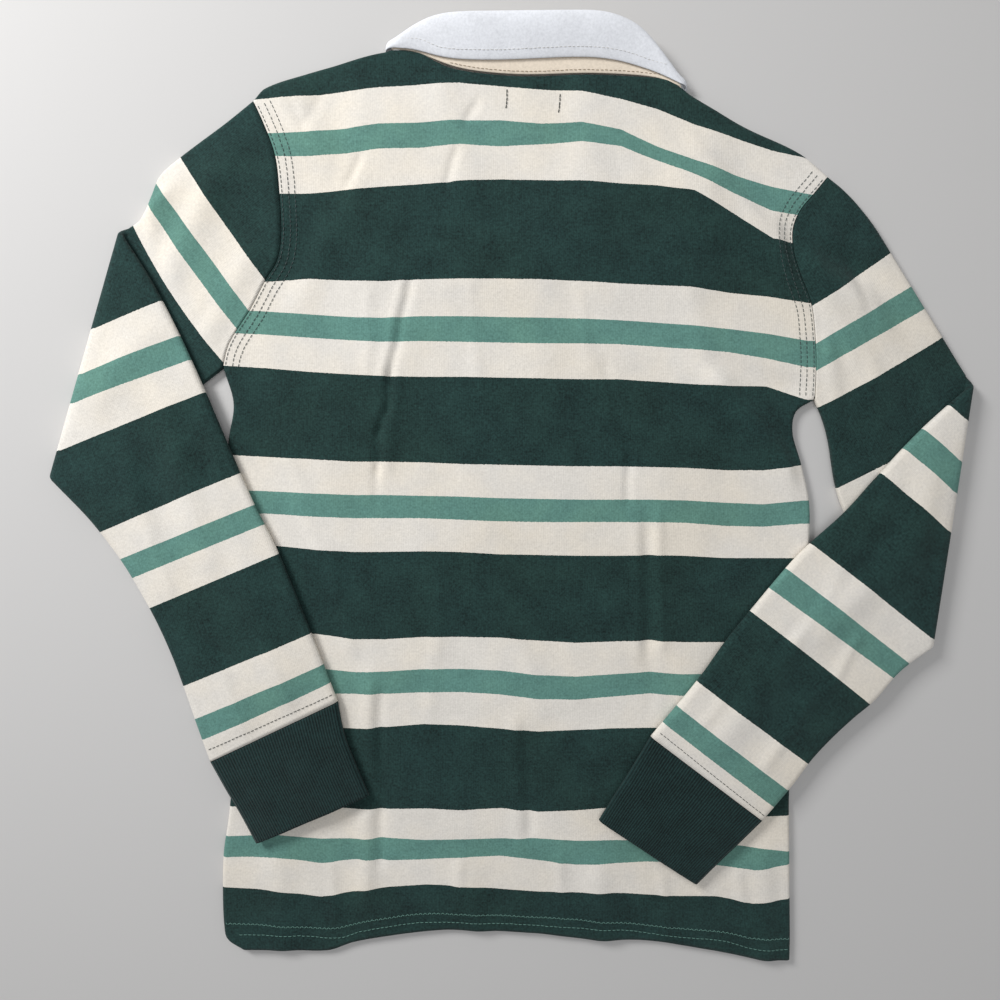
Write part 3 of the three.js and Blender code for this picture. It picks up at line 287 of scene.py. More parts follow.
def line_at(table, x):
    """Smooth height of a line given as (x, y) rows, at places x."""
    t = np.array(table, float)
    tx, ty = t[:, 0], t[:, 1]
    slopes = np.empty(len(tx))
    slopes[1:-1] = (ty[2:] - ty[:-2]) / (tx[2:] - tx[:-2])
    slopes[0] = (ty[1] - ty[0]) / (tx[1] - tx[0])
    slopes[-1] = (ty[-1] - ty[-2]) / (tx[-1] - tx[-2])
    x = np.asarray(x, float)
    k = np.clip(np.searchsorted(tx, x) - 1, 0, len(tx) - 2)
    span = tx[k + 1] - tx[k]
    s = np.clip((x - tx[k]) / span, 0, 1)
    s2, s3 = s * s, s * s * s
    return (
        (2 * s3 - 3 * s2 + 1) * ty[k] + (s3 - 2 * s2 + s) * span * slopes[k]
        + (3 * s2 - 2 * s3) * ty[k + 1] + (s3 - s2) * span * slopes[k + 1]
    )


def fold_height(folds, x, y):
    high = np.zeros_like(x)
    for x1, y1, x2, y2, half, rise in folds:
        length = math.hypot(x2 - x1, y2 - y1)
        dx, dy = (x2 - x1) / length, (y2 - y1) / length
        along = (x - x1) * dx + (y - y1) * dy
        sway = 0.12 * half * np.sin(along / (half * 1.7) + x1)
        aside = (x - x1) * dy - (y - y1) * dx + sway
        beyond = np.maximum(0, np.maximum(-along, along - length))
        reach = (aside / half) ** 2 + (beyond * 0.5 / half) ** 2
        high += FOLD_STRENGTH * rise * np.exp(-reach)
    return high


def outside_of(outline, x, y):
    inside = np.zeros(x.shape, bool)
    nearest = np.full(x.shape, np.inf)
    for k, (fx, fy) in enumerate(outline):
        tx, ty = outline[(k + 1) % len(outline)]
        if fy != ty:
            cross = ((fy > y) != (ty > y)) & (x < mix(fx, tx, (y - fy) / (ty - fy)))
            inside ^= cross
        dx, dy = tx - fx, ty - fy
        along = np.clip(((x - fx) * dx + (y - fy) * dy) / (dx * dx + dy * dy), 0, 1)
        nearest = np.minimum(nearest, np.hypot(x - fx - dx * along, y - fy - dy * along))
    return np.where(inside, 0, nearest)


def outline_of(rows):
    return [(r[0], r[1]) for r in rows] + [(r[2], r[3]) for r in reversed(rows)]


FOREARMS = [outline_of(LEFT_FORE + LEFT_CUFF), outline_of(RIGHT_FORE + RIGHT_CUFF)]


def free_of_forearm(x, y):
    return np.minimum(*[smooth(2, 16, outside_of(outline, x, y)) for outline in FOREARMS])


def collar_room(x, y):
    return COLLAR_ROOM * smooth(-106, -82, x) * (1 - smooth(128, 152, x)) * smooth(112, 148, y)


def cloth_waves(x, y):
    """Low, uneven unrest of laid jersey."""
    return (
        0.3 * np.sin(x / 17 + 1.3 * np.sin(y / 41)) * np.sin(y / 27 + 0.8 * np.sin(x / 33))
        + 0.15 * np.sin(x / 7.7 + 2 * np.sin(y / 19) + 1) * np.sin(y / 11.3 + 1.7 * np.sin(x / 13))
        + 0.05 * np.sin(x / 3.9 + 2 * np.sin(y / 9)) * np.sin(y / 6.1 + 1.4 * np.sin(x / 7))
    )


# Meshes.


def metres(points):
    p = np.asarray(points, float).copy()
    p[..., 0] -= PLAN_MIDDLE[0]
    p[..., 1] -= PLAN_MIDDLE[1]
    return p / 1000


def grid_faces(rows, columns, wrap=False):
    r, c = np.meshgrid(np.arange(rows - 1), np.arange(columns if wrap else columns - 1), indexing="ij")
    a = r * columns + c
    b = r * columns + (c + 1) % columns
    return np.stack([a, b, b + columns, a + columns], axis=-1).reshape(-1, 4)


TREES = {}


def sheet_object(name, grid, material, wrap=False, face="up", stripe=None, uv=None, thick=CLOTH):
    rows, columns = grid.shape[:2]
    points = metres(grid).reshape(-1, 3)
    faces = grid_faces(rows, columns, wrap)
    normal = np.cross(points[faces[:, 1]] - points[faces[:, 0]], points[faces[:, 2]] - points[faces[:, 0]])
    if wrap:
        middle = grid_middle(grid)
        centre = metres(middle)[faces[:, 0] // columns]
        flip = (normal * (points[faces[:, 0]] - centre)).sum() < 0
    else:
        flip = normal[:, 2].sum() * (1 if face == "up" else -1) < 0
    if flip:
        faces = faces[:, ::-1]
    used = np.unique(faces)
    index = np.full(len(points), -1)
    index[used] = np.arange(len(used))
    faces = index[faces]
    mesh = bpy.data.meshes.new(name)
    mesh.from_pydata(points[used].tolist(), [], faces.tolist())
    mesh.polygons.foreach_set("use_smooth", np.ones(len(faces), bool))
    if stripe is not None:
        layer = mesh.attributes.new("stripe", "FLOAT", "POINT")
        layer.data.foreach_set("value", stripe.reshape(-1)[used].astype(np.float32))
    if uv is not None:
        layer = mesh.attributes.new("weave", "FLOAT_VECTOR", "POINT")
        flat = np.concatenate([uv.reshape(-1, 2), np.zeros((rows * columns, 1))], axis=1)[used]
        layer.data.foreach_set("vector", flat.astype(np.float32).reshape(-1))
    mesh.materials.append(material)
    mesh.update()
    obj = bpy.data.objects.new(name, mesh)
    bpy.context.scene.collection.objects.link(obj)
    if thick:
        wall = obj.modifiers.new("cloth", "SOLIDIFY")
        wall.thickness = thick / 1000
        wall.offset = -1
    TREES[name] = BVHTree.FromPolygons([Vector(p) for p in points[used]], faces.tolist())
    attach(obj, "root")
    return obj


def grid_middle(grid):
    return grid.mean(axis=1)


def drop_on(names, x, y):
    """Top surface point and normal under a plan place, in millimetres."""
    start = Vector(metres(np.array([x, y, 60.0])))
    best = None
    for name in names:
        hit, normal, _, _ = TREES[name].ray_cast(start, Vector((0, 0, -1)))
        if hit is not None and (best is None or hit.z > best[0].z):
            best = (hit, normal if normal.z > 0 else -normal)
    return best


# Materials.


def srgb(red, green, blue):
    return tuple(((v / 255 + 0.055) / 1.055) ** 2.4 if v > 10 else v / 255 / 12.92 for v in (red, green, blue)) + (
        1,
    )


DARK_GREEN = srgb(32, 57, 55)
MID_GREEN = srgb(98, 142, 133)
OFF_WHITE = srgb(232, 227, 219)
# White twill of the collar leaf, with a blue tint of painted cool light.
COLLAR_COOL_LIT_WHITE = srgb(233, 235, 240)
# White twill tape of the neck band, painted cream for the warm light and shade under the collar leaf.
BAND_WARM_SHADE_CREAM = srgb(238, 224, 205)
SEAM_THREAD = srgb(78, 88, 88)
HEM_THREAD = srgb(112, 152, 142)
WHITE_THREAD = srgb(228, 226, 222)
BLACK_THREAD = srgb(34, 44, 44)


class Nodes:
    def __init__(self, name, roughness):
        self.material = bpy.data.materials.new(name)
        self.material.use_nodes = True
        self.tree = self.material.node_tree
        self.shader = self.tree.nodes["Principled BSDF"]
        self.shader.inputs["Roughness"].default_value = roughness
        self.shader.inputs["Specular IOR Level"].default_value = 0.25

    def add(self, kind, **values):
        node = self.tree.nodes.new(kind)
        for key, value in values.items():
            setattr(node, key, value)
        return node

    def link(self, a, b):
        self.tree.links.new(a, b)

    def maths(self, operation, first, second=None):
        node = self.add("ShaderNodeMath", operation=operation)
        for socket, value in zip(node.inputs, (first, second)):
            if value is None:
                continue
            if isinstance(value, (int, float)):
                socket.default_value = value
            else:
                self.link(value, socket)
        return node.outputs[0]


def knit_material(
    name, colours, striped=False, wale=1.15, course=0.9, depth=0.16, roughness=0.93, twill=False, fuzz=1.0,
    loop=0.2, course_share=0.6
):
    """Cloth with fine loops; wale and course are the loop spacings in millimetres."""
    n = Nodes(name, roughness)
    weave = n.add("ShaderNodeAttribute", attribute_name="weave")
    split = n.add("ShaderNodeSeparateXYZ")
    n.link(weave.outputs["Vector"], split.inputs[0])
    across = n.maths("SINE", n.maths("MULTIPLY", split.outputs["X"], 2 * math.pi / wale))
    if twill:
        slope = n.maths("ADD", split.outputs["X"], split.outputs["Y"])
        loops = n.maths("SINE", n.maths("MULTIPLY", slope, 2 * math.pi / wale))
    else:
        along = n.maths("SINE", n.maths("MULTIPLY", split.outputs["Y"], 2 * math.pi / course))
        loops = n.maths("ADD", across, n.maths("MULTIPLY", along, course_share))

    def noise(scale, detail=3):
        node = n.add("ShaderNodeTexNoise")
        node.inputs["Scale"].default_value = scale
        node.inputs["Detail"].default_value = detail
        n.link(weave.outputs["Vector"], node.inputs["Vector"])
        return n.maths("SUBTRACT", node.outputs["Fac"], 0.5)

    grain, fleck, blotch, tone = noise(0.75, 4), noise(0.33), noise(0.055, 4), noise(0.012, 2)
    relief = n.maths("ADD", n.maths("MULTIPLY", loops, loop), grain)
    relief = n.maths("ADD", relief, n.maths("MULTIPLY", fleck, 1.4))
    bump = n.add("ShaderNodeBump")
    bump.inputs["Strength"].default_value = 0.5
    bump.inputs["Distance"].default_value = depth / 1000
    n.link(relief, bump.inputs["Height"])
    n.link(bump.outputs["Normal"], n.shader.inputs["Normal"])

    def ramp_of(place, stops):
        ramp = n.add("ShaderNodeValToRGB")
        ramp.color_ramp.interpolation = "CONSTANT"
        ramp.color_ramp.elements[0].position = 0
        ramp.color_ramp.elements[0].color = stops[0]
        ramp.color_ramp.elements[1].position = 0.25
        ramp.color_ramp.elements[1].color = stops[1]
        for k in (2, 3):
            ramp.color_ramp.elements.new(k / 4).color = stops[k]
        n.link(place, ramp.inputs["Fac"])
        return ramp.outputs["Color"]

    if striped:
        stripe = n.add("ShaderNodeAttribute", attribute_name="stripe")
        shifted = n.maths("ADD", stripe.outputs["Fac"], n.maths("MULTIPLY", grain, 0.03))
        place = n.maths("FRACT", n.maths("MULTIPLY", n.maths("ADD", shifted, 40.0), 0.25))
        dark, white, green = colours
        base = ramp_of(place, (white, green, white, dark))
        warm = n.add("ShaderNodeMix", data_type="RGBA", blend_type="MULTIPLY")
        n.link(base, warm.inputs["A"])
        warm.inputs["B"].default_value = WARM_TINT
        n.link(
            n.maths(
                "ADD", n.maths("MULTIPLY", n.maths("ADD", tone, n.maths("MULTIPLY", blotch, 0.5)), 3.2), 0.4
            ),
            warm.inputs["Factor"]
        )
        base = warm.outputs["Result"]
    else:
        flat = n.add("ShaderNodeRGB")
        flat.outputs[0].default_value = colours[0]
        base = flat.outputs[0]
    light = n.add("ShaderNodeRGBToBW")
    n.link(base, light.inputs[0])
    share = n.maths("DIVIDE", 0.55, n.maths("ADD", n.maths("MULTIPLY", light.outputs[0], 8), 1.0))
    spread = n.maths("ADD", n.maths("MULTIPLY", grain, 4.6), n.maths("MULTIPLY", fleck, 2.0))
    spread = n.maths("ADD", spread, n.maths("MULTIPLY", blotch, 2.6))
    spread = n.maths("ADD", spread, n.maths("MULTIPLY", loops, loop))
    value = n.add("ShaderNodeHueSaturation")
    n.link(base, value.inputs["Color"])
    lifted = n.maths("ADD", n.maths("MULTIPLY", n.maths("MULTIPLY", spread, share), fuzz), 1.0)
    n.link(n.maths("MAXIMUM", lifted, 0.3), value.inputs["Value"])
    n.link(value.outputs["Color"], n.shader.inputs["Base Color"])
    n.shader.inputs["Sheen Weight"].default_value = 0.08
    n.shader.inputs["Sheen Roughness"].default_value = 0.5
    return n.material


def thread_material(name, colour):
    n = Nodes(name, 0.7)
    grain = n.add("ShaderNodeTexNoise")
    grain.inputs["Scale"].default_value = 900
    value = n.add("ShaderNodeHueSaturation")
    value.inputs["Color"].default_value = colour
    n.link(n.maths("ADD", n.maths("MULTIPLY", grain.outputs["Fac"], 0.3), 0.85), value.inputs["Value"])
    n.link(value.outputs["Color"], n.shader.inputs["Base Color"])
    return n.material


WARM_TINT = (1.0, 0.97, 0.915, 1)
STRIPED = knit_material("striped_jersey", (DARK_GREEN, OFF_WHITE, MID_GREEN), striped=True)
PLAIN = knit_material("dark_jersey", (DARK_GREEN,))
RIB = knit_material("rib_knit", (srgb(26, 48, 47),), wale=1.9, depth=0.7, fuzz=0.8, loop=1.1, course_share=0)
# The leaf's colour carries painted cool light as a blue tint on white twill.
TWILL = knit_material("collar_twill", (COLLAR_COOL_LIT_WHITE,), wale=0.9, depth=0.1, roughness=0.85, twill=True)
# The band's cream is painted warm light and shade on white twill tape.
BAND = knit_material("band_twill", (BAND_WARM_SHADE_CREAM,), wale=0.8, depth=0.1, roughness=0.85, twill=True)


# Stripe places.


STRIPE_SLOPE = 24.0
EDGE_ZONE = 4.0


def stripe_place(measure, edges, repeat=57.0):
    """Stripe number at a measure along the cloth, given every stripe edge there in rising order."""
    edges = [edges[0] - repeat] + list(edges) + [edges[-1] + repeat]
    place = np.full(measure.shape, -1.0)
    for low, high in zip(edges[:-1], edges[1:]):
        width = high - low
        d = np.clip(measure - low, 0, width)
        near = EDGE_ZONE / STRIPE_SLOPE
        inner = near + (d - EDGE_ZONE) / (width - 2 * EDGE_ZONE) * (1 - 2 * near)
        place = place + np.where(
            d < EDGE_ZONE, d / STRIPE_SLOPE, np.where(
                d > width - EDGE_ZONE, 1 - (width - d) / STRIPE_SLOPE, inner
            )
        )
    return np.clip(place, -0.9, len(edges) - 2.1)


def body_stripes(x, y):
    edges = [-np.interp(x, STRIPE_X, heights) for group in BODY_STRIPES for heights in group]
    return stripe_place(-y, edges)


# Placket, band and collar follow their solids, smoothed.


def fine_copy(node, name, material, soften=0):
    """The solid's own walls as one smooth skin."""
    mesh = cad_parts[node].data.copy()
    mesh.name = name
    work = bmesh.new()
    work.from_mesh(mesh)
    bmesh.ops.remove_doubles(work, verts=work.verts, dist=1e-6)
    if soften:
        bmesh.ops.join_triangles(
            work, faces=work.faces, angle_face_threshold=math.radians(40), angle_shape_threshold=math.radians(
                80
            )
        )
    work.to_mesh(mesh)
    work.free()
    mesh.materials.clear()
    mesh.materials.append(material)
    mesh.polygons.foreach_set("use_smooth", np.ones(len(mesh.polygons), bool))
    if not soften:
        mesh.set_sharp_from_angle(angle=math.radians(60))
    obj = bpy.data.objects.new(name, mesh)
    bpy.context.scene.collection.objects.link(obj)
    layer = mesh.attributes.new("weave", "FLOAT_VECTOR", "POINT")
    places = np.empty(len(mesh.vertices) * 3)
    mesh.vertices.foreach_get("co", places)
    layer.data.foreach_set("vector", (places * 1000).astype(np.float32))
    points = [v.co.copy() for v in mesh.vertices]
    TREES[name] = BVHTree.FromPolygons(points, [tuple(f.vertices) for f in mesh.polygons])
    if soften:
        finer = obj.modifiers.new("soft", "SUBSURF")
        finer.levels = finer.render_levels = soften
    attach(obj, "root")
    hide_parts(node)
    return obj


placket_piece = fine_copy("placket", "placket_cloth", PLAIN)
band_piece = fine_copy("neck_band", "band_cloth", BAND, 2)
leaf_piece = fine_copy("collar_leaf", "leaf_cloth", TWILL, 2)


# Body panels.

left_side = curve(LEFT_SIDE, 151)
right_side = curve(RIGHT_SIDE, 151)
left_length = length_of(LEFT_ARMHOLE)
right_length = length_of(RIGHT_ARMHOLE)


def roll_steps(count):
    return ROLL_RADIUS * (1 - np.cos(np.linspace(0, math.pi / 2, count)))


def arm_distances(length, count):
    middle = np.linspace(ROLL_RADIUS, length - ROLL_RADIUS, count)
    return np.concatenate([[0], middle, (length - roll_steps(7)[::-1])[1:]])


def front_top(x):
    back = line_at(BACK_TOP, x)
    low, high = -66.0, 114.0
    reach = np.where(
        x < CENTRE_FRONT, (CENTRE_FRONT - x) / (CENTRE_FRONT - low),
        (x - CENTRE_FRONT) / (high - CENTRE_FRONT)
    )
    ends = line_at(BACK_TOP, np.array([low, high]))
    line = mix(ends[0], ends[1], (x - low) / (high - low))
    dipped = np.minimum(back - 1, line - FRONT_NECK_DROP * (1 - np.clip(reach, 0, 1) ** 2.6))
    return np.where((x <= low) | (x >= high), back, dipped)


def panel(is_back, side_count, arm_count, columns):
    arm_l = arm_distances(left_length, arm_count)[1:]
    arm_r = arm_distances(right_length, arm_count)[1:]
    left = np.vstack([curve(LEFT_SIDE, side_count), curve(LEFT_ARMHOLE, shares=arm_l / left_length)])
    right = np.vstack([curve(RIGHT_SIDE, side_count), curve(RIGHT_ARMHOLE, shares=arm_r / right_length)])
    rolled = np.concatenate([np.ones(side_count), np.zeros(len(arm_l))])[:, None]
    tip = np.zeros(len(left))
    tip[-7:] = 1 - np.sin(np.linspace(math.pi / 2, 0, 7))
    tip = tip[:, None]
    edge = roll_steps(7) / 360
    u = np.concatenate([edge, np.linspace(edge[-1], 1 - edge[-1], columns)[1:-1], (1 - edge)[::-1]])
    v = ((left[:, 1] - left[0, 1]) / (left[-1, 1] - left[0, 1]) + (right[:, 1] - right[0, 1]) / (right[-1, 1] - right[0, 1])) / 2
    hem_x = mix(left[0, 0], right[0, 0], u)
    top_x = mix(left[-1, 0], right[-1, 0], u)
    hem = np.stack([hem_x, line_at(HEM_LINE, hem_x)], axis=1)
    top = np.stack([top_x, line_at(BACK_TOP, top_x) if is_back else front_top(top_x)], axis=1)
    plan = np.empty((len(v), len(u), 2))
    for k in range(2):
        sides = mix(left[:, k][:, None], right[:, k][:, None], u[None, :])
        ends = mix(hem[:, k][None, :], top[:, k][None, :], v[:, None])
        corners = mix(
            mix(left[0, k], right[0, k], u)[None, :], mix(left[-1, k], right[-1, k], u)[None, :], v[:, None]
        )
        plan[:, :, k] = sides + ends - corners
    x, y = plan[..., 0], plan[..., 1]
    to_left = np.linalg.norm(plan - plan[:, :1], axis=2)
    to_right = np.linalg.norm(plan - plan[:, -1:], axis=2)
    to_top = np.linalg.norm(plan - plan[-1:, :], axis=2) + 3
    nearest = np.minimum(np.minimum(to_left, to_right), to_top)
    room = collar_room(x, y)
    calm = free_of_forearm(x, y) * smooth(0, 16, nearest)
    folds = (fold_height(BODY_FOLDS, x, y) + cloth_waves(x, y)) * calm
    high = mix(FIELD_HEIGHT, EDGE_HEIGHT, np.exp(-((nearest / EDGE_REACH) ** 2))) + room + folds
    low = room
    middle = (high + low) / 2 + (0.15 if is_back else -0.15)
    columns_in = np.minimum(np.arange(len(u)), len(u) - 1 - np.arange(len(u)))
    aside = np.where(columns_in < 7, 1 - np.sin(np.clip(columns_in, 0, 6) * math.pi / 12), 0)[None, :] * rolled
    shoulder = 1 - smooth(-72, -66, x) * (1 - smooth(112, 118, x))
    fall = np.maximum(aside, tip * shoulder)
    z = mix(high if is_back else low, middle, fall)
    if not is_back:
        z = np.maximum(z, 0.0)
    return np.stack([x, y, z], axis=-1)


back = panel(True, 148, 64, 196)
back_piece = sheet_object(
    "back_cloth", back, STRIPED, stripe=body_stripes(back[..., 0], back[..., 1]), uv=back[..., :2]
)
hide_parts("back_panel")

front = panel(False, 100, 44, 120)


def room_for_placket(grid):
    """Lifts the front over the placket, which lies in its opening."""
    low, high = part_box("placket")
    points = metres(grid)
    margin = 0.005
    near = (points[..., 0] > low.x - margin) & (points[..., 0] < high.x + margin)
    near &= (points[..., 1] > low.y - margin) & (points[..., 1] < high.y + margin)
    for r, c in zip(*np.nonzero(near)):
        hit = TREES["placket_cloth"].find_nearest(Vector(points[r, c]))
        aside = math.hypot(hit[0].x - points[r, c, 0], hit[0].y - points[r, c, 1]) * 1000
        grid[r, c, 2] += PLACKET_LIFT * (1 - float(smooth(0.8, 3.2, aside)))


room_for_placket(front)
front_piece = sheet_object(
    "front_cloth", front, STRIPED, face="down", stripe=body_stripes(front[..., 0], front[..., 1]), uv=front[
        ..., :2
    ]
)
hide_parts("front_panel")


# Sleeves.


class SleeveMap:
    def __init__(self, upper):
        last = np.array(upper[-1], float)
        self.first, self.second = last[:2], last[2:]
        line = (self.second - self.first) / np.linalg.norm(self.second - self.first)
        self.out = np.array([-line[1], line[0]])
        if self.out[0] * self.first[0] < 0:
            self.out = -self.out
        self.axis = EDGE_HEIGHT + FOLD_SPACE / 2
        self.neutral = self.axis - EDGE_HEIGHT / 2
        self.turn = math.pi * self.neutral

    def distance(self, p):
        return (np.asarray(p) - self.first) @ self.out

    def flatten(self, p):
        p = np.asarray(p, float)
        return p + self.out * (self.turn - 2 * self.distance(p))[..., None]

    def fold(self, p, height):
        d = self.distance(p)
        foot = p - self.out * d[..., None]
        radius = self.axis - height
        angle = np.clip(d / self.neutral, 0, math.pi)
        beyond = np.maximum(0, d - self.turn)
        shift = np.where(d <= 0, d, radius * np.sin(angle) - beyond)
        z = np.where(d <= 0, height, self.axis - radius * np.cos(angle))
        plan = foot + self.out * shift[..., None]
        return np.concatenate([plan, z[..., None]], axis=-1)


def edge_at(edge, k):
    k = np.clip(np.asarray(k, float), 0, len(edge) - 1)
    at = np.minimum(k.astype(int), len(edge) - 2)
    s = (k - at)[:, None]
    before, after = edge[np.maximum(0, at - 1)], edge[np.minimum(len(edge) - 1, at + 2)]
    p, q = edge[at], edge[at + 1]
    m0 = (q - before) * np.where(at > 0, 0.5, 1)[:, None]
    m1 = (after - p) * np.where(at < len(edge) - 2, 0.5, 1)[:, None]
    s2, s3 = s * s, s * s * s
    return (2 * s3 - 3 * s2 + 1) * p + (s3 - 2 * s2 + s) * m0 + (3 * s2 - 2 * s3) * q + (s3 - s2) * m1


def ring(middle_count):
    """Places round a sleeve: kind (0 middle, 1 from edge a, 2 from edge b), amount, height share."""
    arc = np.linspace(0, math.pi, 11)[1:-1]
    amount = ROLL_RADIUS * (1 - np.sin(arc))
    middle = np.linspace(0, 1, middle_count)
    kinds = np.concatenate([np.zeros(middle_count), np.full(9, 2), np.zeros(middle_count), np.full(9, 1)])
    amounts = np.concatenate([middle, amount, middle[::-1], amount])
    ups = np.concatenate([np.ones(middle_count), np.cos(arc), -np.ones(middle_count), -np.cos(arc)])
    return kinds, amounts, ups


def across_of(kinds, amounts, width):
    return np.where(
        kinds == 0, mix(ROLL_RADIUS, width - ROLL_RADIUS, amounts), np.where(
            kinds == 1, amounts, width - amounts
        )
    )


def tube(a, b, ease, bow, target, sleeve_map, fore_folds, middle_count):
    kinds, amounts, ups = ring(middle_count)
    width = np.linalg.norm(b - a, axis=1)[:, None]
    side = (b - a) / width
    across = across_of(kinds[None, :], amounts[None, :], width)
    flat = a[:, None, :] + side[:, None, :] * across[..., None]
    if target is not None:
        start = flat[0]
        flat = flat + (target - start)[None, :, :] * bow[:, None, None]
    plan = sleeve_map.fold(flat, np.zeros(flat.shape[:2]))
    x, y = plan[..., 0], plan[..., 1]
    share = np.clip(across / width, 0, 1)
    soft = np.sqrt(np.maximum(0, np.sin(math.pi * share)))
    fore = sleeve_map.distance(flat) > sleeve_map.turn * 0.5
    raised_fore = soft * (fold_height(fore_folds, x, y) + SLEEVE_PUFF + cloth_waves(x, y)) * ease[:, None]
    raised_upper = soft * (fold_height(UPPER_FOLDS, x, y) + cloth_waves(x, y)) * free_of_forearm(x, y)
    raised_upper = raised_upper * smooth(0, 0.35, 1 - bow)[:, None]
    half = EDGE_HEIGHT / 2
    flat_up = np.abs(ups)[None, :] == 1
    top = EDGE_HEIGHT + np.where(fore, 0, raised_upper)
    low = np.where(fore, -raised_fore, 0)
    height = np.where(flat_up, np.where(ups[None, :] > 0, top, low), half + half * ups[None, :])
    return flat, sleeve_map.fold(flat, height), share


def sleeve_parts(side_name, upper, fore, cuff, armhole, stripes, run):
    m = SleeveMap(upper)
    edges = []
    for k in (0, 2):
        near = np.array([r[k : k + 2] for r in upper], float)
        far = m.flatten(np.array([r[k : k + 2] for r in fore[1:]], float))
        edges.append(np.vstack([near, far]))

    def row_at(edge, distance):
        low, high = 0.0, len(edge) - 1.0
        for _ in range(40):
            middle = (low + high) / 2
            if m.distance(edge_at(edge, np.array([middle])))[0] < distance:
                low = middle
            else:
                high = middle
        return low

    last = len(edges[0]) - 1
    before = [row_at(e, -3) for e in edges]
    after = [row_at(e, m.turn + 4) for e in edges]
    near = np.linspace(0, 1, 46)
    turn = np.linspace(-3, m.turn + 4, 16)[1:]
    far = np.linspace(0, 1, 110)[1:]
    ks = []
    for i, e in enumerate(edges):
        ks.append(np.concatenate([before[i] * near, [row_at(e, d) for d in turn], mix(after[i], last, far)]))
    a, b = edge_at(edges[0], ks[0]), edge_at(edges[1], ks[1])
    turn_ease = smooth(m.turn * 0.5, m.turn * 1.5, turn) * 0.7
    far_ease = mix(0.7, 1, smooth(0, 0.06, far)) * mix(1, 0.35, smooth(0.93, 1, far))
    ease = np.concatenate([np.zeros(46), turn_ease, far_ease])
    bow = np.concatenate([np.clip(1 - near / 0.46, 0, 1) ** 1.0, np.zeros(len(turn) + len(far))])
    middle_count = 52
    kinds, amounts, _ = ring(middle_count)
    length = length_of(armhole)
    place = np.clip(1 - across_of(kinds, amounts, length) / length, 0, 1)
    target = curve(armhole, shares=place)
    ahead = curve(armhole, shares=np.clip(place + 0.002, 0, 1)) - curve(
        armhole, shares=np.clip(place - 0.002, 0, 1)
    )
    out = np.stack([-ahead[:, 1], ahead[:, 0]], axis=1)
    out /= np.linalg.norm(out, axis=1)[:, None]
    out *= np.sign(out[:, :1]) * np.sign(a[0, 0])
    target = target + out * SEAM_GAP
    flat, grid, share = tube(a, b, ease, bow, target, m, FORE_FOLDS, middle_count)
    run = np.array(run)
    aside = np.array([-run[1], run[0]])
    if (m.second - m.first) @ aside < 0:
        aside = -aside
    full = (m.second - m.first) @ aside
    s = (flat - m.first) @ run
    t = (flat - m.first) @ aside / full
    edges_at = [line_across(row, t) for row in stripes]
    stripe = stripe_place(s, edges_at)
    piece = sheet_object(
        f"{side_name}_sleeve_cloth", grid, STRIPED, wrap=True, stripe=stripe, uv=np.stack(
            [t * full, s], axis=-1
        )
    )
    cuff_rows = [m.flatten(np.array([r[k : k + 2] for r in cuff], float)) for k in (0, 2)]
    starts = []
    for i in range(2):
        end = (a, b)[i][-1]
        step = cuff_rows[i][0] - end
        starts.append(np.vstack([end + step / np.linalg.norm(step) * SEAM_GAP, cuff_rows[i]]))
    where = np.linspace(0, 3, 40)
    ca, cb = edge_at(starts[0], where), edge_at(starts[1], where)
    cuff_ease = mix(0.35, 0.6, np.clip(where, 0, 1))
    flat_c, grid_c, share_c = tube(ca, cb, cuff_ease, np.zeros(40), None, m, CUFF_FOLDS, 72)
    widths = np.linalg.norm(cb - ca, axis=1)[:, None]
    along = np.linspace(0, 65, 40)[:, None] * np.ones_like(share_c)
    cuff_piece = sheet_object(
        f"{side_name}_cuff_cloth", grid_c, RIB, wrap=True, uv=np.stack(
            [share_c * widths.max(), along], axis=-1
        )
    )
    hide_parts(f"sleeve_{side_name}")
    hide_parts(f"cuff_{side_name}")
    return {
        "map": m, "piece": piece, "cuff": cuff_piece, "run": run, "aside": aside, "full": full,
        "end": (a[-1], b[-1])
    }


def line_across(row, share):
    a, middle, b = row
    near = np.clip(share, -0.5, 1.5)
    return mix(mix(a, middle, near * 2), mix(middle, b, near * 2 - 1), near) + 0 * share


left = sleeve_parts("left", LEFT_UPPER, LEFT_FORE, LEFT_CUFF, LEFT_ARMHOLE, LEFT_STRIPES, LEFT_RUN)
right = sleeve_parts("right", RIGHT_UPPER, RIGHT_FORE, RIGHT_CUFF, RIGHT_ARMHOLE, RIGHT_STRIPES, RIGHT_RUN)


# Stitches.

UPPER_SKINS = ["back_cloth", "left_sleeve_cloth", "right_sleeve_cloth", "left_cuff_cloth", "right_cuff_cloth"]


def along_path(points, pitch):
    """Even places along a line and the direction there."""
    length = length_of(points)
    count = max(2, int(length / pitch))
    at = (np.arange(count) + 0.5) / count
    place = curve(points, shares=at)
    ahead = curve(points, shares=np.clip(at + 0.004, 0, 1)) - curve(points, shares=np.clip(at - 0.004, 0, 1))
    return place, ahead / np.linalg.norm(ahead, axis=1)[:, None]


def stitches(name, rows, material, skins, thick=0.42, lift=0.1):
    """Short thread loops lying on the cloth; rows are (line, pitch, stitch share, zig-zag width)."""
    verts, faces = [], []
    for line, pitch, share, zigzag in rows:
        place, ahead = along_path(line, pitch)
        for k, (p, d) in enumerate(zip(place, ahead)):
            side = np.array([-d[1], d[0]])
            turn = (1 if k % 2 else -1) * zigzag
            start = p - d * pitch * share / 2 - side * turn / 2
            end = p + d * pitch * share / 2 + side * turn / 2
            jitter = rng.normal(0, 0.06, 2)
            add_stitch(verts, faces, start + jitter, end + jitter, skins, thick, lift)
    mesh = bpy.data.meshes.new(name)
    mesh.from_pydata(verts, [], faces)
    mesh.polygons.foreach_set("use_smooth", np.ones(len(faces), bool))
    mesh.materials.append(material)
    obj = bpy.data.objects.new(name, mesh)
    bpy.context.scene.collection.objects.link(obj)
    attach(obj, "root")
    return obj


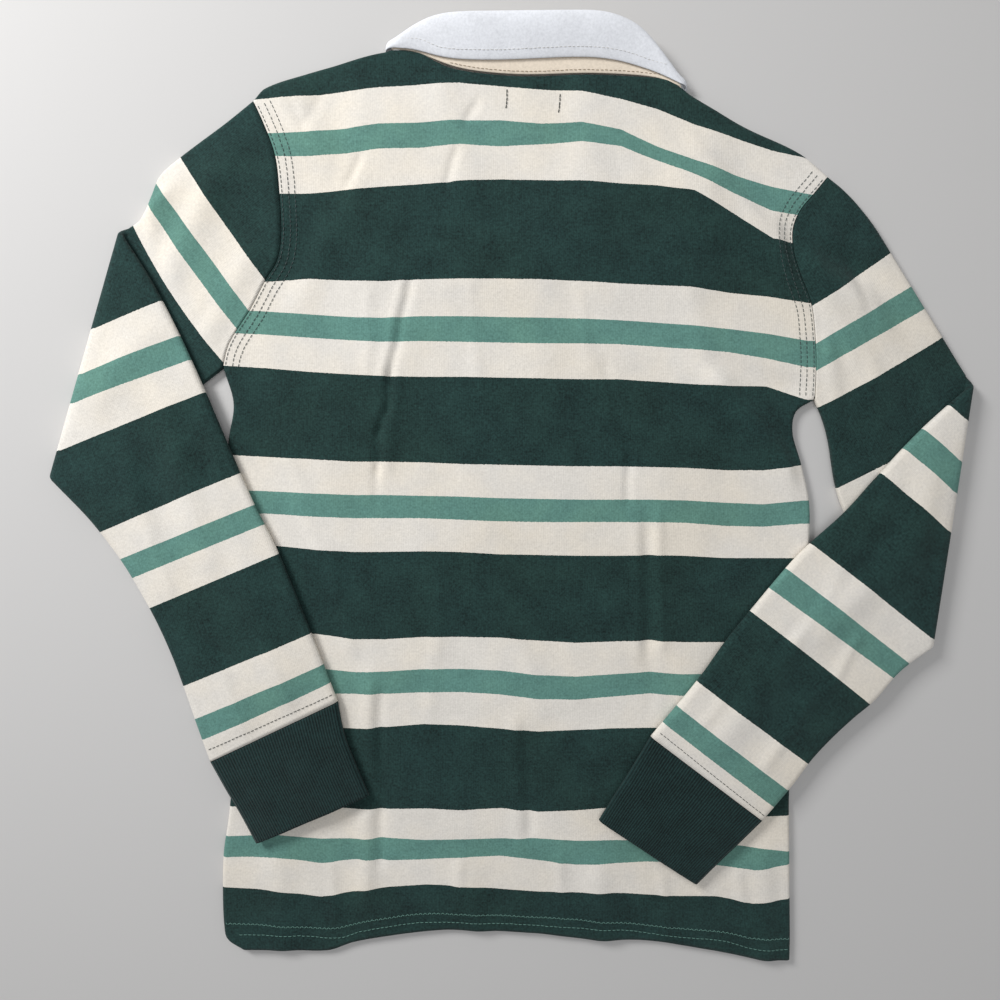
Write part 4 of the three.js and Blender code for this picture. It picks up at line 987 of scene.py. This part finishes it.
def add_stitch(verts, faces, start, end, skins, thick, lift):
    ends = [drop_on(skins, *start), drop_on(skins, *end)]
    if ends[0] is None or ends[1] is None or abs(ends[0][0].z - ends[1][0].z) > 0.002:
        return
    a, b = ends[0][0], ends[1][0]
    up = (ends[0][1] + ends[1][1]).normalized()
    run = b - a
    if run.length < 1e-5:
        return
    side = run.cross(up).normalized()
    first = len(verts)
    around = 6
    for share, full, rise in (
        (0, 0.35, -0.25), (0.18, 0.9, 0.35), (0.5, 1.0, 0.6), (0.82, 0.9, 0.35), (1, 0.35, -0.25)
    ):
        middle = a + run * share + up * ((rise * thick + lift) / 1000)
        for n in range(around):
            angle = 2 * math.pi * n / around
            reach = side * math.cos(angle) + up * math.sin(angle) * 0.7
            verts.append(tuple(middle + reach * (thick * full / 2000)))
    for ring_at in range(4):
        for n in range(around):
            low = first + ring_at * around
            faces.append((low + n, low + (n + 1) % around, low + around + (n + 1) % around, low + around + n))
    faces.append(tuple(first + n for n in reversed(range(around))))
    faces.append(tuple(first + 4 * around + n for n in range(around)))


def beside(line, distance, count=24):
    """The line moved sideways in plan, to its left."""
    p = curve(line, count)
    ahead = np.gradient(p, axis=0)
    ahead /= np.linalg.norm(ahead, axis=1)[:, None]
    return p + np.stack([-ahead[:, 1], ahead[:, 0]], axis=1) * distance


def part_of(line, low, high, count=24):
    return curve(line, shares=np.linspace(low, high, count))


HEM_UPPER = [
    (-184.5, -285.5), (-144, -287.5), (-116, -289.5), (-109, -289), (-90, -284.5), (-58, -279.5), (-38, -279),
    (16, -281), (43, -282.5), (83, -285.5), (116, -289), (147, -291.5), (170, -295.5), (195, -296.5),
]
HEM_LOWER = [
    (-176, -293.5), (-140, -294), (-108, -296), (-95, -292), (-58, -285.5), (-38, -285), (16, -286.5),
    (43, -288.5), (83, -290.5), (116, -295), (150, -298), (170, -303), (194.5, -304),
]
left_lines = [beside(LEFT_ARMHOLE, -d) for d in (1.3, 5.6, 9.4)]
right_lines = [beside(RIGHT_ARMHOLE, d) for d in (1.3, 5.6, 9.4)]
armhole_rows = [(part_of(line, 0.015, 0.975), 2.9, 0.8, 0) for line in left_lines + right_lines]
stitches("armhole_stitches", armhole_rows, thread_material("armhole_thread", SEAM_THREAD), UPPER_SKINS)
hem_rows = [(HEM_LOWER, 3.0, 0.8, 0), (HEM_UPPER, 1.5, 0.9, 1.1)]
stitches("hem_stitches", hem_rows, thread_material("hem_thread", HEM_THREAD), UPPER_SKINS)


def on_sleeve(part, row, low=-0.4, high=1.4, count=40, shift=0.0):
    """Plan line across a laid forearm at a stripe measure."""
    t = np.linspace(low, high, count)
    s = line_across(row, t) + shift
    flat = part["map"].first + part["run"] * s[:, None] + part["aside"] * (t * part["full"])[:, None]
    return part["map"].fold(flat, np.zeros(count))[:, :2]


cuff_thread = thread_material("cuff_thread", BLACK_THREAD)
stitches(
    "left_cuff_stitches", [(on_sleeve(left, STITCH_LEFT), 2.8, 0.82, 0)], cuff_thread, ["left_sleeve_cloth"]
)
stitches(
    "right_cuff_stitches", [(on_sleeve(right, STITCH_RIGHT), 2.8, 0.82, 0)], cuff_thread,
    ["right_sleeve_cloth"]
)

TACKS = [(4.4, 248.2), (37, 245.6)]
tack_rows = [([(x, y + 6), (x - 0.2, y), (x - 0.9, y - 5.2)], 1.9, 1.15, 0.15) for x, y in TACKS]
stitches("neck_tacks", tack_rows, thread_material("tack_thread", BLACK_THREAD), UPPER_SKINS, thick=0.6)
collar_line = [(x, y + 5.2) for x, y in COLLAR_EDGE[1:-1]]
collar_rows = [(collar_line, 2.6, 0.8, 0)]
stitches(
    "collar_stitches", collar_rows, thread_material("collar_thread", WHITE_THREAD), ["leaf_cloth"],
    thick=0.3, lift=0
)
neck_rows = [([(x, y + 2.8) for x, y in BACK_TOP[7:13]], 2.7, 0.75, 0)]
stitches(
    "neck_stitches", neck_rows, thread_material("neck_thread", srgb(150, 132, 108)), ["band_cloth"],
    thick=0.3, lift=0
)


# Floor, light and camera.

TILT = math.radians(4.4)
FOCAL_PIXELS = 755.0
PICTURE_PIXELS = 1000.0
CAMERA_DISTANCE = FOCAL_PIXELS * 0.65

scene = bpy.context.scene
camera_data = bpy.data.cameras.new("camera")
camera_data.sensor_width = 36
camera_data.lens = 36 * FOCAL_PIXELS / PICTURE_PIXELS
camera_data.clip_start = 0.01
camera = bpy.data.objects.new("camera", camera_data)
scene.collection.objects.link(camera)
place = metres(np.array([0, CAMERA_DISTANCE * math.sin(TILT), CAMERA_DISTANCE * math.cos(TILT)]))
camera.location = Vector(place)
camera.rotation_euler = (-TILT, 0, 0)
scene.camera = camera

floor_mesh = bpy.data.meshes.new("floor")
floor_mesh.from_pydata([(-4, -4, 0), (4, -4, 0), (4, 4, 0), (-4, 4, 0)], [], [(0, 1, 2, 3)])
floor = bpy.data.objects.new("floor", floor_mesh)
scene.collection.objects.link(floor)
floor_nodes = Nodes("floor_pale", 0.9)
floor_nodes.shader.inputs["Base Color"].default_value = (0.62, 0.61, 0.6, 1)
floor_mesh.materials.append(floor_nodes.material)
floor.location.z = -0.0002


def area_light(name, location, target, size, energy, colour=(1, 1, 1)):
    data = bpy.data.lights.new(name, "AREA")
    data.shape = "RECTANGLE"
    data.size, data.size_y = size
    data.energy = energy
    data.color = colour
    light = bpy.data.objects.new(name, data)
    scene.collection.objects.link(light)
    light.location = location
    light.rotation_euler = (Vector(target) - Vector(location)).to_track_quat("-Z", "Y").to_euler()
    return light


key = area_light("key", (-0.85, 0.75, 0.7), (0, 0.03, 0), (0.4, 0.4), 14)
fill = area_light("fill", (0.2, 0.1, 1.5), (0, 0, 0), (1.2, 1.2), 5)
world = bpy.data.worlds.new("studio")
world.use_nodes = True
world.node_tree.nodes["Background"].inputs["Color"].default_value = (0.95, 0.97, 1, 1)
world.node_tree.nodes["Background"].inputs["Strength"].default_value = 0.3
scene.world = world
scene.view_settings.view_transform = "Standard"
